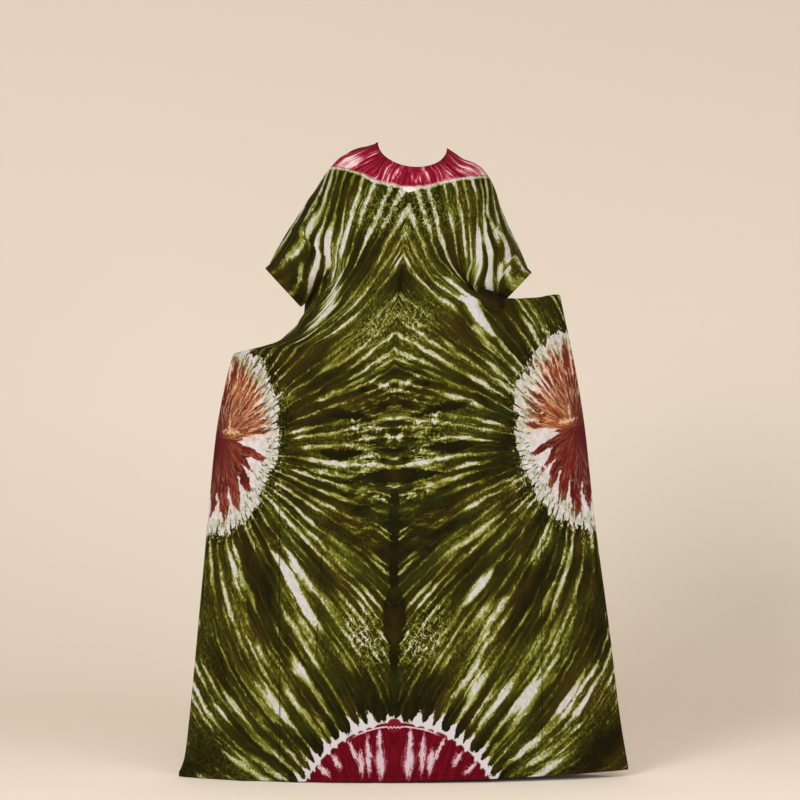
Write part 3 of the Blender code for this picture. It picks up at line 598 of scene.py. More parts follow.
def dye_maps(front_grid, share, v, panel):
    fade = np.clip(1 - v / NECK_FADE, 0, 1) ** 1.6
    flat_v = v + 0.075 * neck_sine(share, v) * fade
    signed = share * HALF_CLOTH
    u = np.abs(signed)
    # the left burst sits a little higher than the right one
    uneven = np.where(signed < 0, 0.021, -0.012) * smoothstep(0.12, 0.40, u)
    flat_v = flat_v + uneven * smoothstep(0.25, 0.45, flat_v) * (1 - smoothstep(0.95, 1.25, flat_v))
    if panel == "front":
        flat_v = flat_v + tucked(front_grid[..., 0], front_grid[..., 2])
    stream, potential = angle_of(u, flat_v)
    # on the sleeve the pleats fan out from the shoulder
    outer = np.clip(u - 0.26, 0, None)
    stream = stream - 1.45 * (np.hypot(outer, 0.03) - 0.03) * (1 - smoothstep(0.0, 0.38, flat_v))
    drift = 0.55 * share + (0.0 if panel == "front" else 3.0 * (1 - np.abs(share) ** 8))
    sleeve = smoothstep(0.22, 0.34, u) * (1 - smoothstep(0.17, 0.27, flat_v))
    breast = (1 - smoothstep(0.20, 0.30, u)) * (1 - smoothstep(0.38, 0.50, flat_v))
    coarse = np.log2(1 / PLEAT / pleat_rate(u, flat_v) / 8) - 0.50 * sleeve - 0.45 * breast
    x, z = front_grid[..., 0], front_grid[..., 2]
    line = smooth_through(NECK_LINE[:, 0], NECK_LINE[:, 1], np.clip(x, NECK_LINE[0, 0], NECK_LINE[-1, 0]))
    below = line - z
    # the collar's streaks run out from the neck, measured down the cloth from its top edge
    fall = np.interp(np.clip(share, -1, 1), SHARE[0], FRONT[0, :, 2]) - v
    turn = np.arctan2(x, 0.040 - fall)
    out = np.hypot(x, 0.040 - fall)
    by_fold = 1 - smoothstep(0.0, 0.075, flat_v)
    turn = turn + (np.arctan2(signed, flat_v + 0.004) - turn) * by_fold
    return {
        "pleats": np.stack([stream, potential, drift], axis=-1),
        "flat": np.stack([signed, flat_v, np.zeros_like(u)], axis=-1),
        # the first of these also holds painted shade: the hollow under the right sleeve and the left corner are made
        # darker here
        "dye": np.stack([blotted(BLOTS, signed, flat_v), blotted(CRACKS, signed, flat_v), coarse], axis=-1),
        "collar": np.stack([turn, below, out], axis=-1),
        "pressed": np.stack([pressed(x, z, panel), np.zeros_like(u), np.zeros_like(u)], axis=-1),
    }


# ------------------------------------------------------------------ material nodes
def lin(r, g, b):
    """A colour given as 8-bit sRGB, as Blender's linear colour."""
    c = np.array([r, g, b], float) / 255
    c = np.where(c <= 0.04045, c / 12.92, ((c + 0.055) / 1.055) ** 2.4)
    return (*[float(x) for x in c], 1.0)


class Value:
    """A node output that takes part in arithmetic."""

    def __init__(self, tree, socket):
        self.tree, self.socket = tree, socket

    def __add__(self, other):
        return self.tree.math("ADD", self, other)

    __radd__ = __add__

    def __mul__(self, other):
        return self.tree.math("MULTIPLY", self, other)

    __rmul__ = __mul__

    def __sub__(self, other):
        return self.tree.math("SUBTRACT", self, other)

    def __rsub__(self, other):
        return self.tree.math("SUBTRACT", other, self)

    def __truediv__(self, other):
        return self.tree.math("DIVIDE", self, other)

    def __pow__(self, other):
        return self.tree.math("POWER", self, other)

    def __neg__(self):
        return self.tree.math("MULTIPLY", self, -1.0)


class Tree:
    def __init__(self, name):
        self.material = bpy.data.materials.new(name)
        self.material.use_nodes = True
        self.nodes, self.links = self.material.node_tree.nodes, self.material.node_tree.links
        self.shader = self.nodes["Principled BSDF"]
        self.output = self.nodes["Material Output"]
        self.place = 0

    def node(self, kind, **settings):
        made = self.nodes.new(kind)
        for key, value in settings.items():
            setattr(made, key, value)
        self.place += 1
        made.location = (-300 - 190 * (self.place // 12), 400 - 170 * (self.place % 12))
        return made

    def put(self, socket, value):
        if isinstance(value, Value):
            self.links.new(value.socket, socket)
        elif value is not None:
            socket.default_value = value

    def math(self, how, a, b=None, c=None, clamp=False):
        made = self.node("ShaderNodeMath", operation=how, use_clamp=clamp)
        for socket, value in zip(made.inputs, (a, b, c)):
            self.put(socket, value)
        return Value(self, made.outputs[0])

    def vector_math(self, how, a, b=None):
        made = self.node("ShaderNodeVectorMath", operation=how)
        self.put(made.inputs[0], a)
        self.put(made.inputs[1], b)
        return Value(self, made.outputs[0])

    def smooth(self, value, low, high, to_low=0.0, to_high=1.0, how="SMOOTHSTEP"):
        made = self.node("ShaderNodeMapRange", interpolation_type=how, clamp=True)
        for i, given in enumerate((value, low, high, to_low, to_high)):
            self.put(made.inputs[i], given)
        return Value(self, made.outputs[0])

    def attribute(self, name):
        made = self.node("ShaderNodeAttribute", attribute_name=name, attribute_type="GEOMETRY")
        return Value(self, made.outputs["Vector"])

    def split(self, vector):
        made = self.node("ShaderNodeSeparateXYZ")
        self.put(made.inputs[0], vector)
        return [Value(self, made.outputs[i]) for i in range(3)]

    def join(self, x, y, z=0.0):
        made = self.node("ShaderNodeCombineXYZ")
        for socket, value in zip(made.inputs, (x, y, z)):
            self.put(socket, value)
        return Value(self, made.outputs[0])

    def noise(self, vector, scale=1.0, detail=2.0, rough=0.5, distortion=0.0):
        made = self.node("ShaderNodeTexNoise", noise_dimensions="3D")
        self.put(made.inputs["Vector"], vector)
        self.put(made.inputs["Scale"], scale)
        self.put(made.inputs["Detail"], detail)
        self.put(made.inputs["Roughness"], rough)
        self.put(made.inputs["Distortion"], distortion)
        return Value(self, made.outputs[0])

    def cells(self, w, scale, random=1.0, feature="F1"):
        """1D cells: (distance to the cell's point, a random number of the cell, another one)."""
        made = self.node("ShaderNodeTexVoronoi", voronoi_dimensions="1D", feature=feature)
        self.put(made.inputs["W"], w)
        self.put(made.inputs["Scale"], scale)
        self.put(made.inputs["Randomness"], random)
        colour = self.split(Value(self, made.outputs["Color"]))
        return Value(self, made.outputs["Distance"]), colour[0], colour[1]

    def edges(self, w, scale, random=1.0):
        """1D cells: the distance to the nearest edge between two cells."""
        made = self.node("ShaderNodeTexVoronoi", voronoi_dimensions="1D", feature="DISTANCE_TO_EDGE")
        self.put(made.inputs["W"], w)
        self.put(made.inputs["Scale"], scale)
        self.put(made.inputs["Randomness"], random)
        return Value(self, made.outputs["Distance"])

    def blend(self, share, a, b):
        return a + (b - a) * share

    def mark(self, vector, u, v, turn, long, wide):
        """A pointed lens at u, v, turned from the v axis: above 0 inside, 1 in its middle."""
        made = self.node("ShaderNodeMapping", vector_type="TEXTURE")
        self.put(made.inputs["Vector"], vector)
        made.inputs["Location"].default_value = (u, v, 0)
        made.inputs["Rotation"].default_value = (0, 0, turn)
        made.inputs["Scale"].default_value = (wide, long, 1)
        b, a, _ = self.split(Value(self, made.outputs[0]))
        return self.math("MULTIPLY_ADD", -a, a, 1.0) - self.math("ABSOLUTE", b)

    def marks(self, vector, table):
        total = None
        for given in table:
            found = self.mark(vector, *given)
            total = found if total is None else self.math("MAXIMUM", total, found)
        return total

    def spots(self, vector, scale, random=1.0):
        made = self.node("ShaderNodeTexVoronoi", voronoi_dimensions="3D", feature="F1")
        self.put(made.inputs["Vector"], vector)
        self.put(made.inputs["Scale"], scale)
        self.put(made.inputs["Randomness"], random)
        colour = self.split(Value(self, made.outputs["Color"]))
        return Value(self, made.outputs["Distance"]), colour[0]

    def mix(self, share, a, b):
        made = self.node("ShaderNodeMix", data_type="RGBA", clamp_factor=True)
        self.put(made.inputs[0], share)
        self.put(made.inputs[6], a)
        self.put(made.inputs[7], b)
        return Value(self, made.outputs[2])

    def ramp(self, value, stops, how="LINEAR"):
        made = self.node("ShaderNodeValToRGB")
        made.color_ramp.interpolation = how
        elements = made.color_ramp.elements
        while len(elements) < len(stops):
            elements.new(0.5)
        for element, (at, colour) in zip(elements, stops):
            element.position = at
        for element, (at, colour) in zip(elements, stops):
            element.color = colour
        self.put(made.inputs[0], value)
        return Value(self, made.outputs[0])


WHITE = lin(207, 200, 210)
RAY_U, RAY_V = 0.495, 0.690  # where the rays meet, a little inside the seam
DISC_BELOW, DISC_RADIUS = 0.104, 0.2307
# Marks in the middle of each half, as pointed lenses: u, v, turn, half length, half width.
MIDDLE_DARK = [
    (0.050, 0.775, 1.57, 0.085, 0.016),
    (0.150, 0.716, 1.57, 0.066, 0.019),
    (0.150, 0.628, 1.45, 0.080, 0.013),
    (0.000, 1.090, 0.00, 0.090, 0.034),
    (0.000, 0.335, 0.00, 0.035, 0.008),
]
MIDDLE_LIGHT = [
    (0.026, 0.576, 1.15, 0.036, 0.011),
    (0.016, 0.616, 1.35, 0.022, 0.008),
    (0.018, 0.684, 0.25, 0.034, 0.014),
    (0.050, 0.664, 1.20, 0.030, 0.010),
    (0.114, 0.652, 0.30, 0.034, 0.013),
    (0.066, 0.730, 1.35, 0.036, 0.013),
    (0.050, 0.822, 1.50, 0.044, 0.016),
]
DISC_MARKS = [
    (0.033, 1.420, 0.03, 0.050, 0.0150),
    (0.036, 1.372, 0.03, 0.032, 0.0085),
    (0.063, 1.408, 0.08, 0.056, 0.0090),
    (0.080, 1.424, 0.14, 0.040, 0.0090),
    (0.096, 1.404, 0.48, 0.050, 0.0070),
    (0.140, 1.420, 0.55, 0.026, 0.0085),
    (0.168, 1.442, 0.85, 0.028, 0.0070),
]


def tie_dye(name):
    """The dyed cotton: olive with white streaks along the pleats, rust bursts, a crimson collar and hem disc; with
    painted shade in the hollow under the right sleeve, on the turned-back left corner and along the pressed creases.
    """
    t = Tree(name)
    stream, potential, drift = t.split(t.attribute("pleats"))
    signed, v, _ = t.split(t.attribute("flat"))
    # pale: above 0 the cloth is whiter, below 0 darker; its darkest places include painted shade in the hollow under
    # the right sleeve and on the left corner
    pale, cracks, spread = t.split(t.attribute("dye"))
    turn, below, out = t.split(t.attribute("collar"))
    u = t.math("ABSOLUTE", signed)
    # the two halves of the cloth took the dye almost alike
    half = t.join(u, v, 0.0)
    wander = t.noise(t.join(signed, v, drift), 7.0, 2.0, 0.5) - 0.5
    stream = stream + wander * 0.045
    fleck = t.noise(t.join(signed, v, drift), 210.0, 2.0, 0.65) - 0.5
    ragged = t.noise(t.join(signed, v, drift + 5.0), 85.0, 3.0, 0.7) - 0.5

    # the hem disc, an arc of a circle whose centre lies below the cut edge
    low_v = (CUT_LENGTH + DISC_BELOW) - v
    disc = t.math("SQRT", u * u + low_v * low_v) / DISC_RADIUS
    by_disc = 1.0 - t.smooth(disc, 1.02, 1.32)
    blotch = t.noise(t.join(signed, v, drift + 23.0), 42.0, 2.0, 0.55) - 0.5
    mottle = t.noise(t.join(signed, v, drift + 33.0), 120.0, 3.0, 0.7) - 0.5

    def along(across, long, layer, detail=2.0, rough=0.55, distortion=0.0):
        return t.noise(t.join(stream * across, potential * long, drift + layer), 1.0, detail, rough, distortion)

    def level(scale, layer):
        """The pleats at one spacing: the gaps' whiteness, the thin lines' and the fine hatching."""
        bend = along(scale * 1.3, scale * 0.8, layer) - 0.5
        edge = t.edges(stream + bend * (0.55 / scale), scale)
        wide = t.smooth(along(scale * 1.0, scale * 0.20, layer + 1.0, 1.5), 0.40, 0.66, -0.055, 0.25, "LINEAR") + pale * 0.46 + by_disc * 0.09
        inside = wide - edge + ragged * 0.30 + blotch * 0.26
        gap = t.smooth(inside + fleck * 0.36, -0.09, 0.16)
        fringe = t.smooth(inside, -0.24, -0.02)
        thin = t.edges(stream + bend * (0.7 / scale) + 2.7, scale * 2.6)
        thin_wide = t.smooth(along(scale * 2.3, scale * 0.26, layer + 2.0, 1.5), 0.44, 0.68, -0.10, 0.14, "LINEAR") + pale * 0.10
        line = t.smooth(thin_wide - thin + ragged * 0.12 + blotch * 0.20 + fleck * 0.26, -0.10, 0.12)
        hatch = along(scale * 6.0, scale * 0.75, layer + 3.0, 2.5, 0.7) - 0.5
        return gap, line, hatch, edge, fringe

    levels = [level(8.0, 11.0), level(16.0, 21.0), level(32.0, 31.0)]
    near, far = t.smooth(spread, 0.20, 0.80), t.smooth(spread, 1.20, 1.80)
    gap, line, hatch, edge, fringe = [t.blend(far, t.blend(near, a, b), c) for a, b, c in zip(*levels)]
    area = along(3.0, 1.1, 41.0, 1.0)
    mid = t.smooth(area, 0.42, 0.62)
    crack_noise = t.noise(t.join(u * 1.0, v * 1.0, drift * 0.4 + 51.0), 56.0, 2.0, 0.55, 0.8)
    crack = 1.0 - t.smooth(t.math("ABSOLUTE", crack_noise - 0.5), 0.010, 0.060)
    whiter = t.smooth(along(6.0, 2.0, 43.0), 0.38, 0.62)
    near_line = 1.0 - t.smooth(below, 0.015, 0.070)
    tone = (
        0.925
        - mid * 0.20
        + hatch * (0.14 + mid * 0.65)
        + mottle * (0.10 + mid * 0.80)
        + blotch * 0.22
        + fleck * 0.12
        + ragged * 0.22
        - fringe * (0.19 + mid * 0.08)
        - gap * (0.36 + whiter * 0.24 + t.math("MAXIMUM", pale, 0.0) * 0.25 + hatch * 1.3 + ragged * 0.5) * (1.0 - near_line * 0.55)
        - line * (0.26 + mid * 0.16)
        - t.math("MAXIMUM", pale, 0.0) * 0.10
        - t.math("MINIMUM", pale, 0.0) * 0.15
        - crack * cracks * 0.60
    )

    # the middle, where bars of dye crossed the fold, and the dark spine
    rough_half = t.join(u + fleck * 0.010 + ragged * 0.012, v + fleck * 0.010 + ragged * 0.014, 0.0)
    bars = t.noise(t.join(u * 17.0, v * 58.0 + drift * 0.6, 61.0), 1.0, 3.0, 0.62, 0.3)
    bars_where = (1.0 - t.smooth(u, 0.07, 0.19)) * t.smooth(v, 0.52, 0.60) * (1.0 - t.smooth(v, 0.86, 0.98))
    tone = tone - (t.smooth(bars, 0.53, 0.66) * 0.40 - t.smooth(bars, 0.34, 0.48, 0.45, 0.0)) * bars_where
    lit = t.marks(rough_half, MIDDLE_LIGHT)
    tone = tone - t.smooth(lit + ragged * 3.2 + (bars - 0.5) * 3.0, 0.15, 1.1) * 0.48
    # short jagged chevrons down the breast
    jag = t.noise(t.join(u * 26.0, (v - u * 1.15) * 92.0, drift * 0.3 + 71.0), 1.0, 2.0, 0.6)
    jag_where = (1.0 - t.smooth(u + ragged * 0.03, 0.022, 0.058)) * t.smooth(v, 0.17, 0.22) * (1.0 - t.smooth(v, 0.44, 0.50))
    tone = tone - (t.smooth(jag, 0.56, 0.66) * 0.42 - t.smooth(jag, 0.34, 0.46, 0.25, 0.0)) * jag_where
    dark = t.marks(rough_half, MIDDLE_DARK)
    tone = tone + t.smooth(dark, 0.0, 0.35) * 0.60
    spine = u - 0.0085 + ragged * 0.014 + fleck * 0.010 - t.math("ABSOLUTE", t.noise(t.join(0.0, v, drift * 0.2 + 3.0), 26.0, 2.0, 0.6) - 0.5) * 0.035
    spine_where = t.smooth(v, 0.80, 0.83) * (1.0 - t.smooth(v, 1.27, 1.33))
    tone = tone + (1.0 - t.smooth(spine, -0.001, 0.003)) * spine_where * 0.75

    # the side sunbursts: polar coordinates round the knot
    side_u, side_v = (BURST_U - u), (v - BURST_V)
    reach = t.math("SQRT", (side_u / BURST_WIDE) ** 2.0 + (side_v / BURST_HIGH) ** 2.0)
    theta = t.math("ARCTAN2", (v - RAY_V) / BURST_HIGH, (RAY_U - u) / BURST_WIDE)
    # the olive stops short of the ring in round fingers
    finger = t.smooth(edge, 0.00, 0.20)
    uneven = t.noise(t.join(side_u * 13.0, side_v * 13.0, drift + 17.0), 1.0, 3.0, 0.6) - 0.5
    ring = reach + (0.75 - finger) * 0.125 + ragged * 0.20 + blotch * 0.16 + fleck * 0.10 + uneven * 0.34
    tone = tone - (1.0 - t.smooth(ring, 0.985, 1.03)) * 1.8
    rim = t.smooth(ring, 1.00, 1.03) * (1.0 - t.smooth(reach, 1.08, 1.30))
    tone = tone + rim * 0.18
    rim_cells = t.noise(t.join(signed, v, drift + 14.0), 130.0, 1.0, 0.5)
    tone = tone - rim * t.smooth(rim_cells, 0.54, 0.66) * 0.62 * t.smooth(ragged, -0.09, 0.06)

    # white spikes run out from the hem disc between the pleats
    spike = (1.0 - t.smooth(edge + ragged * 0.25 + blotch * 0.20, 0.0, 0.46, 0.0, 1.0, "LINEAR")) ** 1.8 * t.smooth(whiter + ragged + blotch, -0.3, 1.2, 0.45, 1.5)
    tone = tone - (1.0 - t.smooth(disc - spike * 0.125 + ragged * 0.10 + blotch * 0.06 + fleck * 0.04, 1.008, 1.040)) * 1.8
    tone = tone + t.smooth(disc, 1.0, 1.03) * (1.0 - t.smooth(disc, 1.12, 1.35)) * 0.15

    # below the collar's tied line
    shake = t.noise(t.join(turn * 16.0, out * 20.0, drift), 1.0, 2.0, 0.5) - 0.5
    down = below + shake * 0.006 + fleck * 0.002
    tone = tone - (1.0 - t.smooth(down + (0.5 - t.smooth(edge, 0.0, 0.3)) * 0.004, 0.0030, 0.0095)) * 0.70
    rib_gap = 1.0 - t.smooth(edge + fleck * 0.30 + ragged * 0.2, 0.10, 0.26)
    tone = tone - near_line * rib_gap * 0.36 + near_line * 0.05

    olive = t.ramp(
        tone,
        [
            (0.00, lin(200, 193, 201)),
            (0.09, lin(186, 184, 174)),
            (0.17, lin(164, 166, 122)),
            (0.27, lin(142, 146, 80)),
            (0.40, lin(113, 114, 41)),
            (0.52, lin(88, 88, 22)),
            (0.62, lin(68, 65, 14)),
            (0.74, lin(48, 44, 8)),
            (0.90, lin(34, 31, 5)),
            (1.05, lin(22, 20, 4)),
        ],
    )
    # a thin wash of dye over parts of the bare streaks
    pearl = t.noise(t.join(signed, v, drift + 29.0), 60.0, 2.0, 0.6)
    veil = (1.0 - t.smooth(tone, 0.0, 0.22)) * t.smooth(pearl + hatch * 0.5 + mottle * 0.5, 0.36, 0.62)
    olive = t.mix(veil * (1.0 - by_disc) * 0.50, olive, lin(162, 168, 142))
    # some of the dye is browner and some greener
    tint = along(5.0, 1.5, 61.0)
    # the brown is held back where pale is far below 0, so the painted shade in the hollow stays near black
    brown = t.smooth(tint, 0.48, 0.70) * t.smooth(tone, 0.35, 0.62) * t.smooth(pale, -0.60, -0.10) * 0.27
    olive = t.mix(brown, olive, lin(78, 58, 14))
    green = (1.0 - t.smooth(tint, 0.30, 0.48)) * t.smooth(tone, 0.12, 0.30) * 0.13
    olive = t.mix(green, olive, lin(74, 92, 24))

    # inside the ring: thin rust spikes above, broad dark fingers below
    high = 1.0 - t.smooth(theta, 0.02, 0.16)
    bend = t.noise(t.join(theta * 2.6, reach * 3.4, drift + 2.0), 1.0, 3.0, 0.6) - 0.5
    fork = t.noise(t.join(theta * 8.0, reach * 3.0, drift + 19.0), 1.0, 2.0, 0.6) - 0.5
    ray = theta + bend * 0.30
    nick = t.noise(t.join(signed, v, drift + 8.0), 120.0, 2.0, 0.6) - 0.5
    thin_edge = t.edges(ray + 0.3, 6.5)
    _, thin_random, thin_other = t.cells(ray + 0.3, 6.5)
    broad_edge = t.edges(ray + 5.1, 3.9, 0.9)
    _, broad_random, _ = t.cells(ray + 5.1, 3.9, 0.9)
    thin_end = t.math("MAXIMUM", (reach - 0.10) / (0.84 + thin_random * 0.34), 0.0) ** 4.2 * 0.47
    broad_end = t.math("MAXIMUM", (reach + 0.02) / (0.82 + broad_random * 0.26), 0.0) ** 6.5 * 0.50
    solid = 1.0 - t.smooth(reach, 0.42, 0.66)
    thin_in = thin_edge - thin_end + (nick * 0.34 + ragged * 0.26 + fork * 0.42) + solid * 0.16
    broad_in = broad_edge - broad_end + (nick * 0.24 + ragged * 0.26 + fork * 0.22) + solid * 0.22
    inner = t.blend(high, broad_in, thin_in)
    # the white opening between the two
    skew = theta + ragged * 0.10 + nick * 0.06
    opening = (1.0 - t.smooth(t.math("ABSOLUTE", skew - 0.13), 0.05, 0.22)) * t.smooth(reach, 0.34, 0.54)
    second = (1.0 - t.smooth(t.math("ABSOLUTE", skew - 0.53), 0.05, 0.13)) * t.smooth(reach, 0.60, 0.72)
    inner = inner - opening * 0.55 - second * 0.55
    # one long finger crosses it
    crossing = (1.0 - t.smooth(t.math("ABSOLUTE", skew - 0.36), 0.020, 0.075)) * (1.0 - t.smooth(reach + ragged * 0.1, 0.78, 0.92))
    inner = t.math("MAXIMUM", inner, crossing * 0.45 - 0.16)
    rays = t.smooth(inner, -0.02, 0.05)
    halo = t.smooth(inner, -0.16, 0.02)
    deep = t.noise(t.join(theta * 6.0, reach * 4.0, drift + 3.0), 1.0, 3.0, 0.65)
    rust = t.mix(t.smooth(deep, 0.38, 0.62), lin(144, 74, 37), lin(96, 41, 25))
    maroon = t.mix(t.smooth(deep, 0.42, 0.66), lin(106, 34, 26), lin(74, 20, 19))
    rust = t.mix(high, maroon, rust)
    rust = t.mix(t.smooth(inner, 0.04, 0.22) * t.smooth(reach, 0.62, 0.86) * high * 0.75, rust, lin(92, 38, 28))
    core = t.smooth(u + ragged * 0.05, 0.462, 0.508) * (1.0 - t.smooth(reach, 0.45, 0.95))
    rust = t.mix(core * 0.85, rust, lin(80, 24, 30))
    bare = t.mix(t.smooth(pearl, 0.36, 0.66) * 0.75, WHITE, lin(180, 179, 168))
    inside = t.mix(halo * (0.20 + high * 0.50), bare, lin(196, 138, 96))
    inside = t.mix(rays, inside, rust)
    # cream lines that run in between the rays
    slit_noise = t.noise(t.join(ray * 13.0, reach * 2.6, drift + 9.0), 1.0, 2.0, 0.6)
    slit = 1.0 - t.smooth(t.math("ABSOLUTE", slit_noise - 0.5) + nick * 0.05, 0.006, 0.050)
    slit = slit * (0.20 + high * 0.50) * t.smooth(reach, 0.10, 0.40)
    inside = t.mix(slit * 0.80, inside, lin(216, 172, 132))
    knot = t.marks(rough_half, [(RAY_U - 0.024, RAY_V - 0.014, 1.45, 0.040, 0.010), (RAY_U - 0.014, RAY_V - 0.034, 0.15, 0.034, 0.005)])
    inside = t.mix(t.smooth(knot + nick * 2.0 + ragged * 0.8, 0.30, 0.75) * 0.75, inside, lin(226, 182, 142))
    # specks that came through the ring's stitches
    d_speck, r_speck, _ = t.cells(theta, 17.0)
    speck = (1.0 - t.smooth(d_speck, 0.14, 0.30)) * t.smooth(r_speck, 0.25, 0.40)
    speck = speck * (1.0 - t.smooth(t.math("ABSOLUTE", reach - 0.88 - (r_speck - 0.5) * 0.12) + ragged * 0.03, 0.016, 0.046))
    inside = t.mix(speck * 0.85, inside, lin(72, 66, 44))
    # a pale green hem round the white, with olive drops in it
    washed = t.smooth(ring, 0.82, 0.97) * t.smooth(pearl + ragged * 0.8, 0.30, 0.56)
    inside = t.mix(washed * 0.72, inside, lin(146, 164, 112))
    drops, drop_random = t.spots(t.join(signed, v, drift * 0.2 + 3.0), 105.0)
    drops = (1.0 - t.smooth(drops + nick * 0.5, 0.26, 0.40)) * t.smooth(drop_random + blotch * 1.2, 0.50, 0.60) * t.smooth(ring, 0.80, 0.92)
    inside = t.mix(drops * 0.85, inside, lin(70, 78, 26))
    colour = t.mix(1.0 - t.smooth(ring, 0.93, 0.985), olive, inside)

    # inside the hem disc
    fan = t.math("ARCTAN2", u, low_v + 0.12)
    feather = t.noise(t.join(fan * 90.0, low_v * 22.0, drift + 71.0), 1.0, 2.0, 0.6) - 0.5
    lozenge = t.marks(rough_half, DISC_MARKS) + feather * 1.3
    crimson = t.mix(t.smooth(feather, -0.12, 0.16), lin(80, 5, 16), lin(108, 9, 26))
    pink = t.smooth(lozenge, -0.10, 0.35)
    crimson = t.mix(pink * 0.8, crimson, lin(166, 90, 108))
    crimson = t.mix(t.smooth(lozenge, 0.24, 0.68), crimson, lin(198, 178, 187))
    # the thin white line inside the arc's top, with its small zigzag
    zigzag = t.math("PINGPONG", signed, 0.0045) * 0.9 * (1.0 - t.smooth(u, 0.014, 0.019))
    arc = t.math("ABSOLUTE", (disc - 0.965) * DISC_RADIUS + zigzag - 0.002 + ragged * 0.006)
    arc_line = (1.0 - t.smooth(arc, 0.0008, 0.0026)) * (1.0 - t.smooth(u, 0.075, 0.110))
    crimson = t.mix(arc_line * 0.9, crimson, lin(214, 184, 192))
    lobes = t.smooth(edge + ragged * 0.3, 0.02, 0.26) * 0.028
    flat_top = (1.0 - t.smooth(u, 0.020, 0.060)) * -0.012
    colour = t.mix(1.0 - t.smooth(disc - lobes + 0.022 + flat_top + ragged * 0.03, 0.985, 1.005), colour, crimson)
    dome = t.math("SQRT", u * u + (v - (CUT_LENGTH + DISC_BELOW - DISC_RADIUS * 0.985)) ** 2.0) + fleck * 0.003
    colour = t.mix((1.0 - t.smooth(dome, 0.0150, 0.0185)) * (1.0 - t.smooth(disc, 1.045, 1.07)), colour, t.mix(arc_line * 0.9, lin(112, 22, 36), lin(214, 184, 192)))

    # the collar
    streak = t.noise(t.join(turn * 24.0, out * 11.0, drift + 81.0), 1.0, 3.0, 0.65)
    patch = t.noise(t.join(turn * 5.0, out * 12.0, drift + 83.0), 1.0, 2.0, 0.5)
    ends = t.smooth(t.math("ABSOLUTE", turn), 0.80, 1.25) * t.smooth(out, 0.125, 0.165)
    aside = t.smooth(t.math("ABSOLUTE", turn), 0.75, 1.20)
    mark = 0.5 + (streak - 0.5) * (1.0 - aside * 0.35) - aside * 0.03 + (patch - 0.5) * 0.75 + ends * 0.20 + fleck * 0.16 + mottle * 0.10
    collar = t.ramp(
        mark,
        [(0.0, lin(84, 4, 22)), (0.40, lin(110, 10, 32)), (0.54, lin(138, 22, 46)), (0.61, lin(172, 66, 84)), (0.67, lin(214, 150, 156)), (0.75, lin(232, 214, 210))],
    )
    edge_pale = t.smooth(down + (patch - 0.5) * 0.006 + ragged * 0.004, -0.0026, 0.0010)
    collar = t.mix(edge_pale * 0.75, collar, lin(222, 176, 168))
    colour = t.mix(1.0 - t.smooth(down, 0.0005, 0.0030), colour, collar)
    thread = (1.0 - t.smooth(t.math("ABSOLUTE", down - 0.0005), 0.0004, 0.0016)) * (0.35 + t.smooth(t.math("ABSOLUTE", turn), 0.35, 0.75) * 0.6)
    colour = t.mix(thread * 0.85, colour, lin(108, 22, 30))
    blob = t.marks(t.join(turn + shake * 0.04, down + fleck * 0.004, 0.0), [(-0.035, 0.008, 0.0, 0.0085, 0.105)])
    colour = t.mix(t.smooth(blob, 0.12, 0.40), colour, lin(232, 214, 204))
    # painted shade along the pressed creases: a thin, broken, near-black line in the cloth's colour
    crease, _, _ = t.split(t.attribute("pressed"))
    # this mask is the painted shade along the creases
    worn = (1.0 - t.smooth(t.math("ABSOLUTE", crease) + fleck * 0.0006, 0.0006, 0.0024)) * t.smooth(ragged + blotch, -0.20, -0.06)
    colour = t.mix(worn * 0.80, colour, lin(24, 20, 6))
    return t, colour


def finish_cloth(t, colour, roughness=0.88):
    t.put(t.shader.inputs["Base Color"], colour)
    t.shader.inputs["Roughness"].default_value = roughness
    t.shader.inputs["Specular IOR Level"].default_value = 0.05
    t.shader.inputs["Sheen Weight"].default_value = 0.015
    t.shader.inputs["Sheen Roughness"].default_value = 0.45
    signed, v, _ = t.split(t.attribute("flat"))
    weave = t.math("SINE", signed * 5200.0) * t.math("SINE", v * 5200.0)
    crumple = t.noise(t.join(signed, v, 0.0), 60.0, 3.0, 0.55)
    height = weave * 0.00004 + crumple * 0.0010
    bump = t.node("ShaderNodeBump")
    bump.inputs["Strength"].default_value = 0.6
    bump.inputs["Distance"].default_value = 1.0
    t.put(bump.inputs["Height"], height)
    t.links.new(bump.outputs[0], t.shader.inputs["Normal"])
    return t.material


# ------------------------------------------------------------------ meshes
def cloth_mesh(name, points, faces, maps, material):
    mesh = bpy.data.meshes.new(name)
    mesh.from_pydata([tuple(p) for p in points], [], faces)
    mesh.update()
    mesh.shade_smooth()
    for key, values in maps.items():
        layer = mesh.attributes.new(key, "FLOAT_VECTOR", "POINT")
        layer.data.foreach_set("vector", np.ascontiguousarray(values.reshape(-1, 3), np.float32).ravel())
    mesh.materials.append(material)
    thing = bpy.data.objects.new(name, mesh)
    scene.collection.objects.link(thing)
    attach(thing, "root")
    return thing


def grid_faces(rows, columns, ring=False):
    r, c = np.meshgrid(np.arange(rows - 1), np.arange(columns if ring else columns - 1), indexing="ij")
    following = (c + 1) % columns
    return np.stack([r * columns + c, (r + 1) * columns + c, (r + 1) * columns + following, r * columns + following], -1).reshape(-1, 4).tolist()


def thicken(thing, thick):
    solid = thing.modifiers.new("cloth", "SOLIDIFY")
    solid.thickness, solid.offset, solid.use_even_offset = thick, 0.0, False
    return thing


FRONT = sheet("front", S_TOP, S_LOW, VV)
BACK = sheet("back", S_TOP, S_LOW, VV)


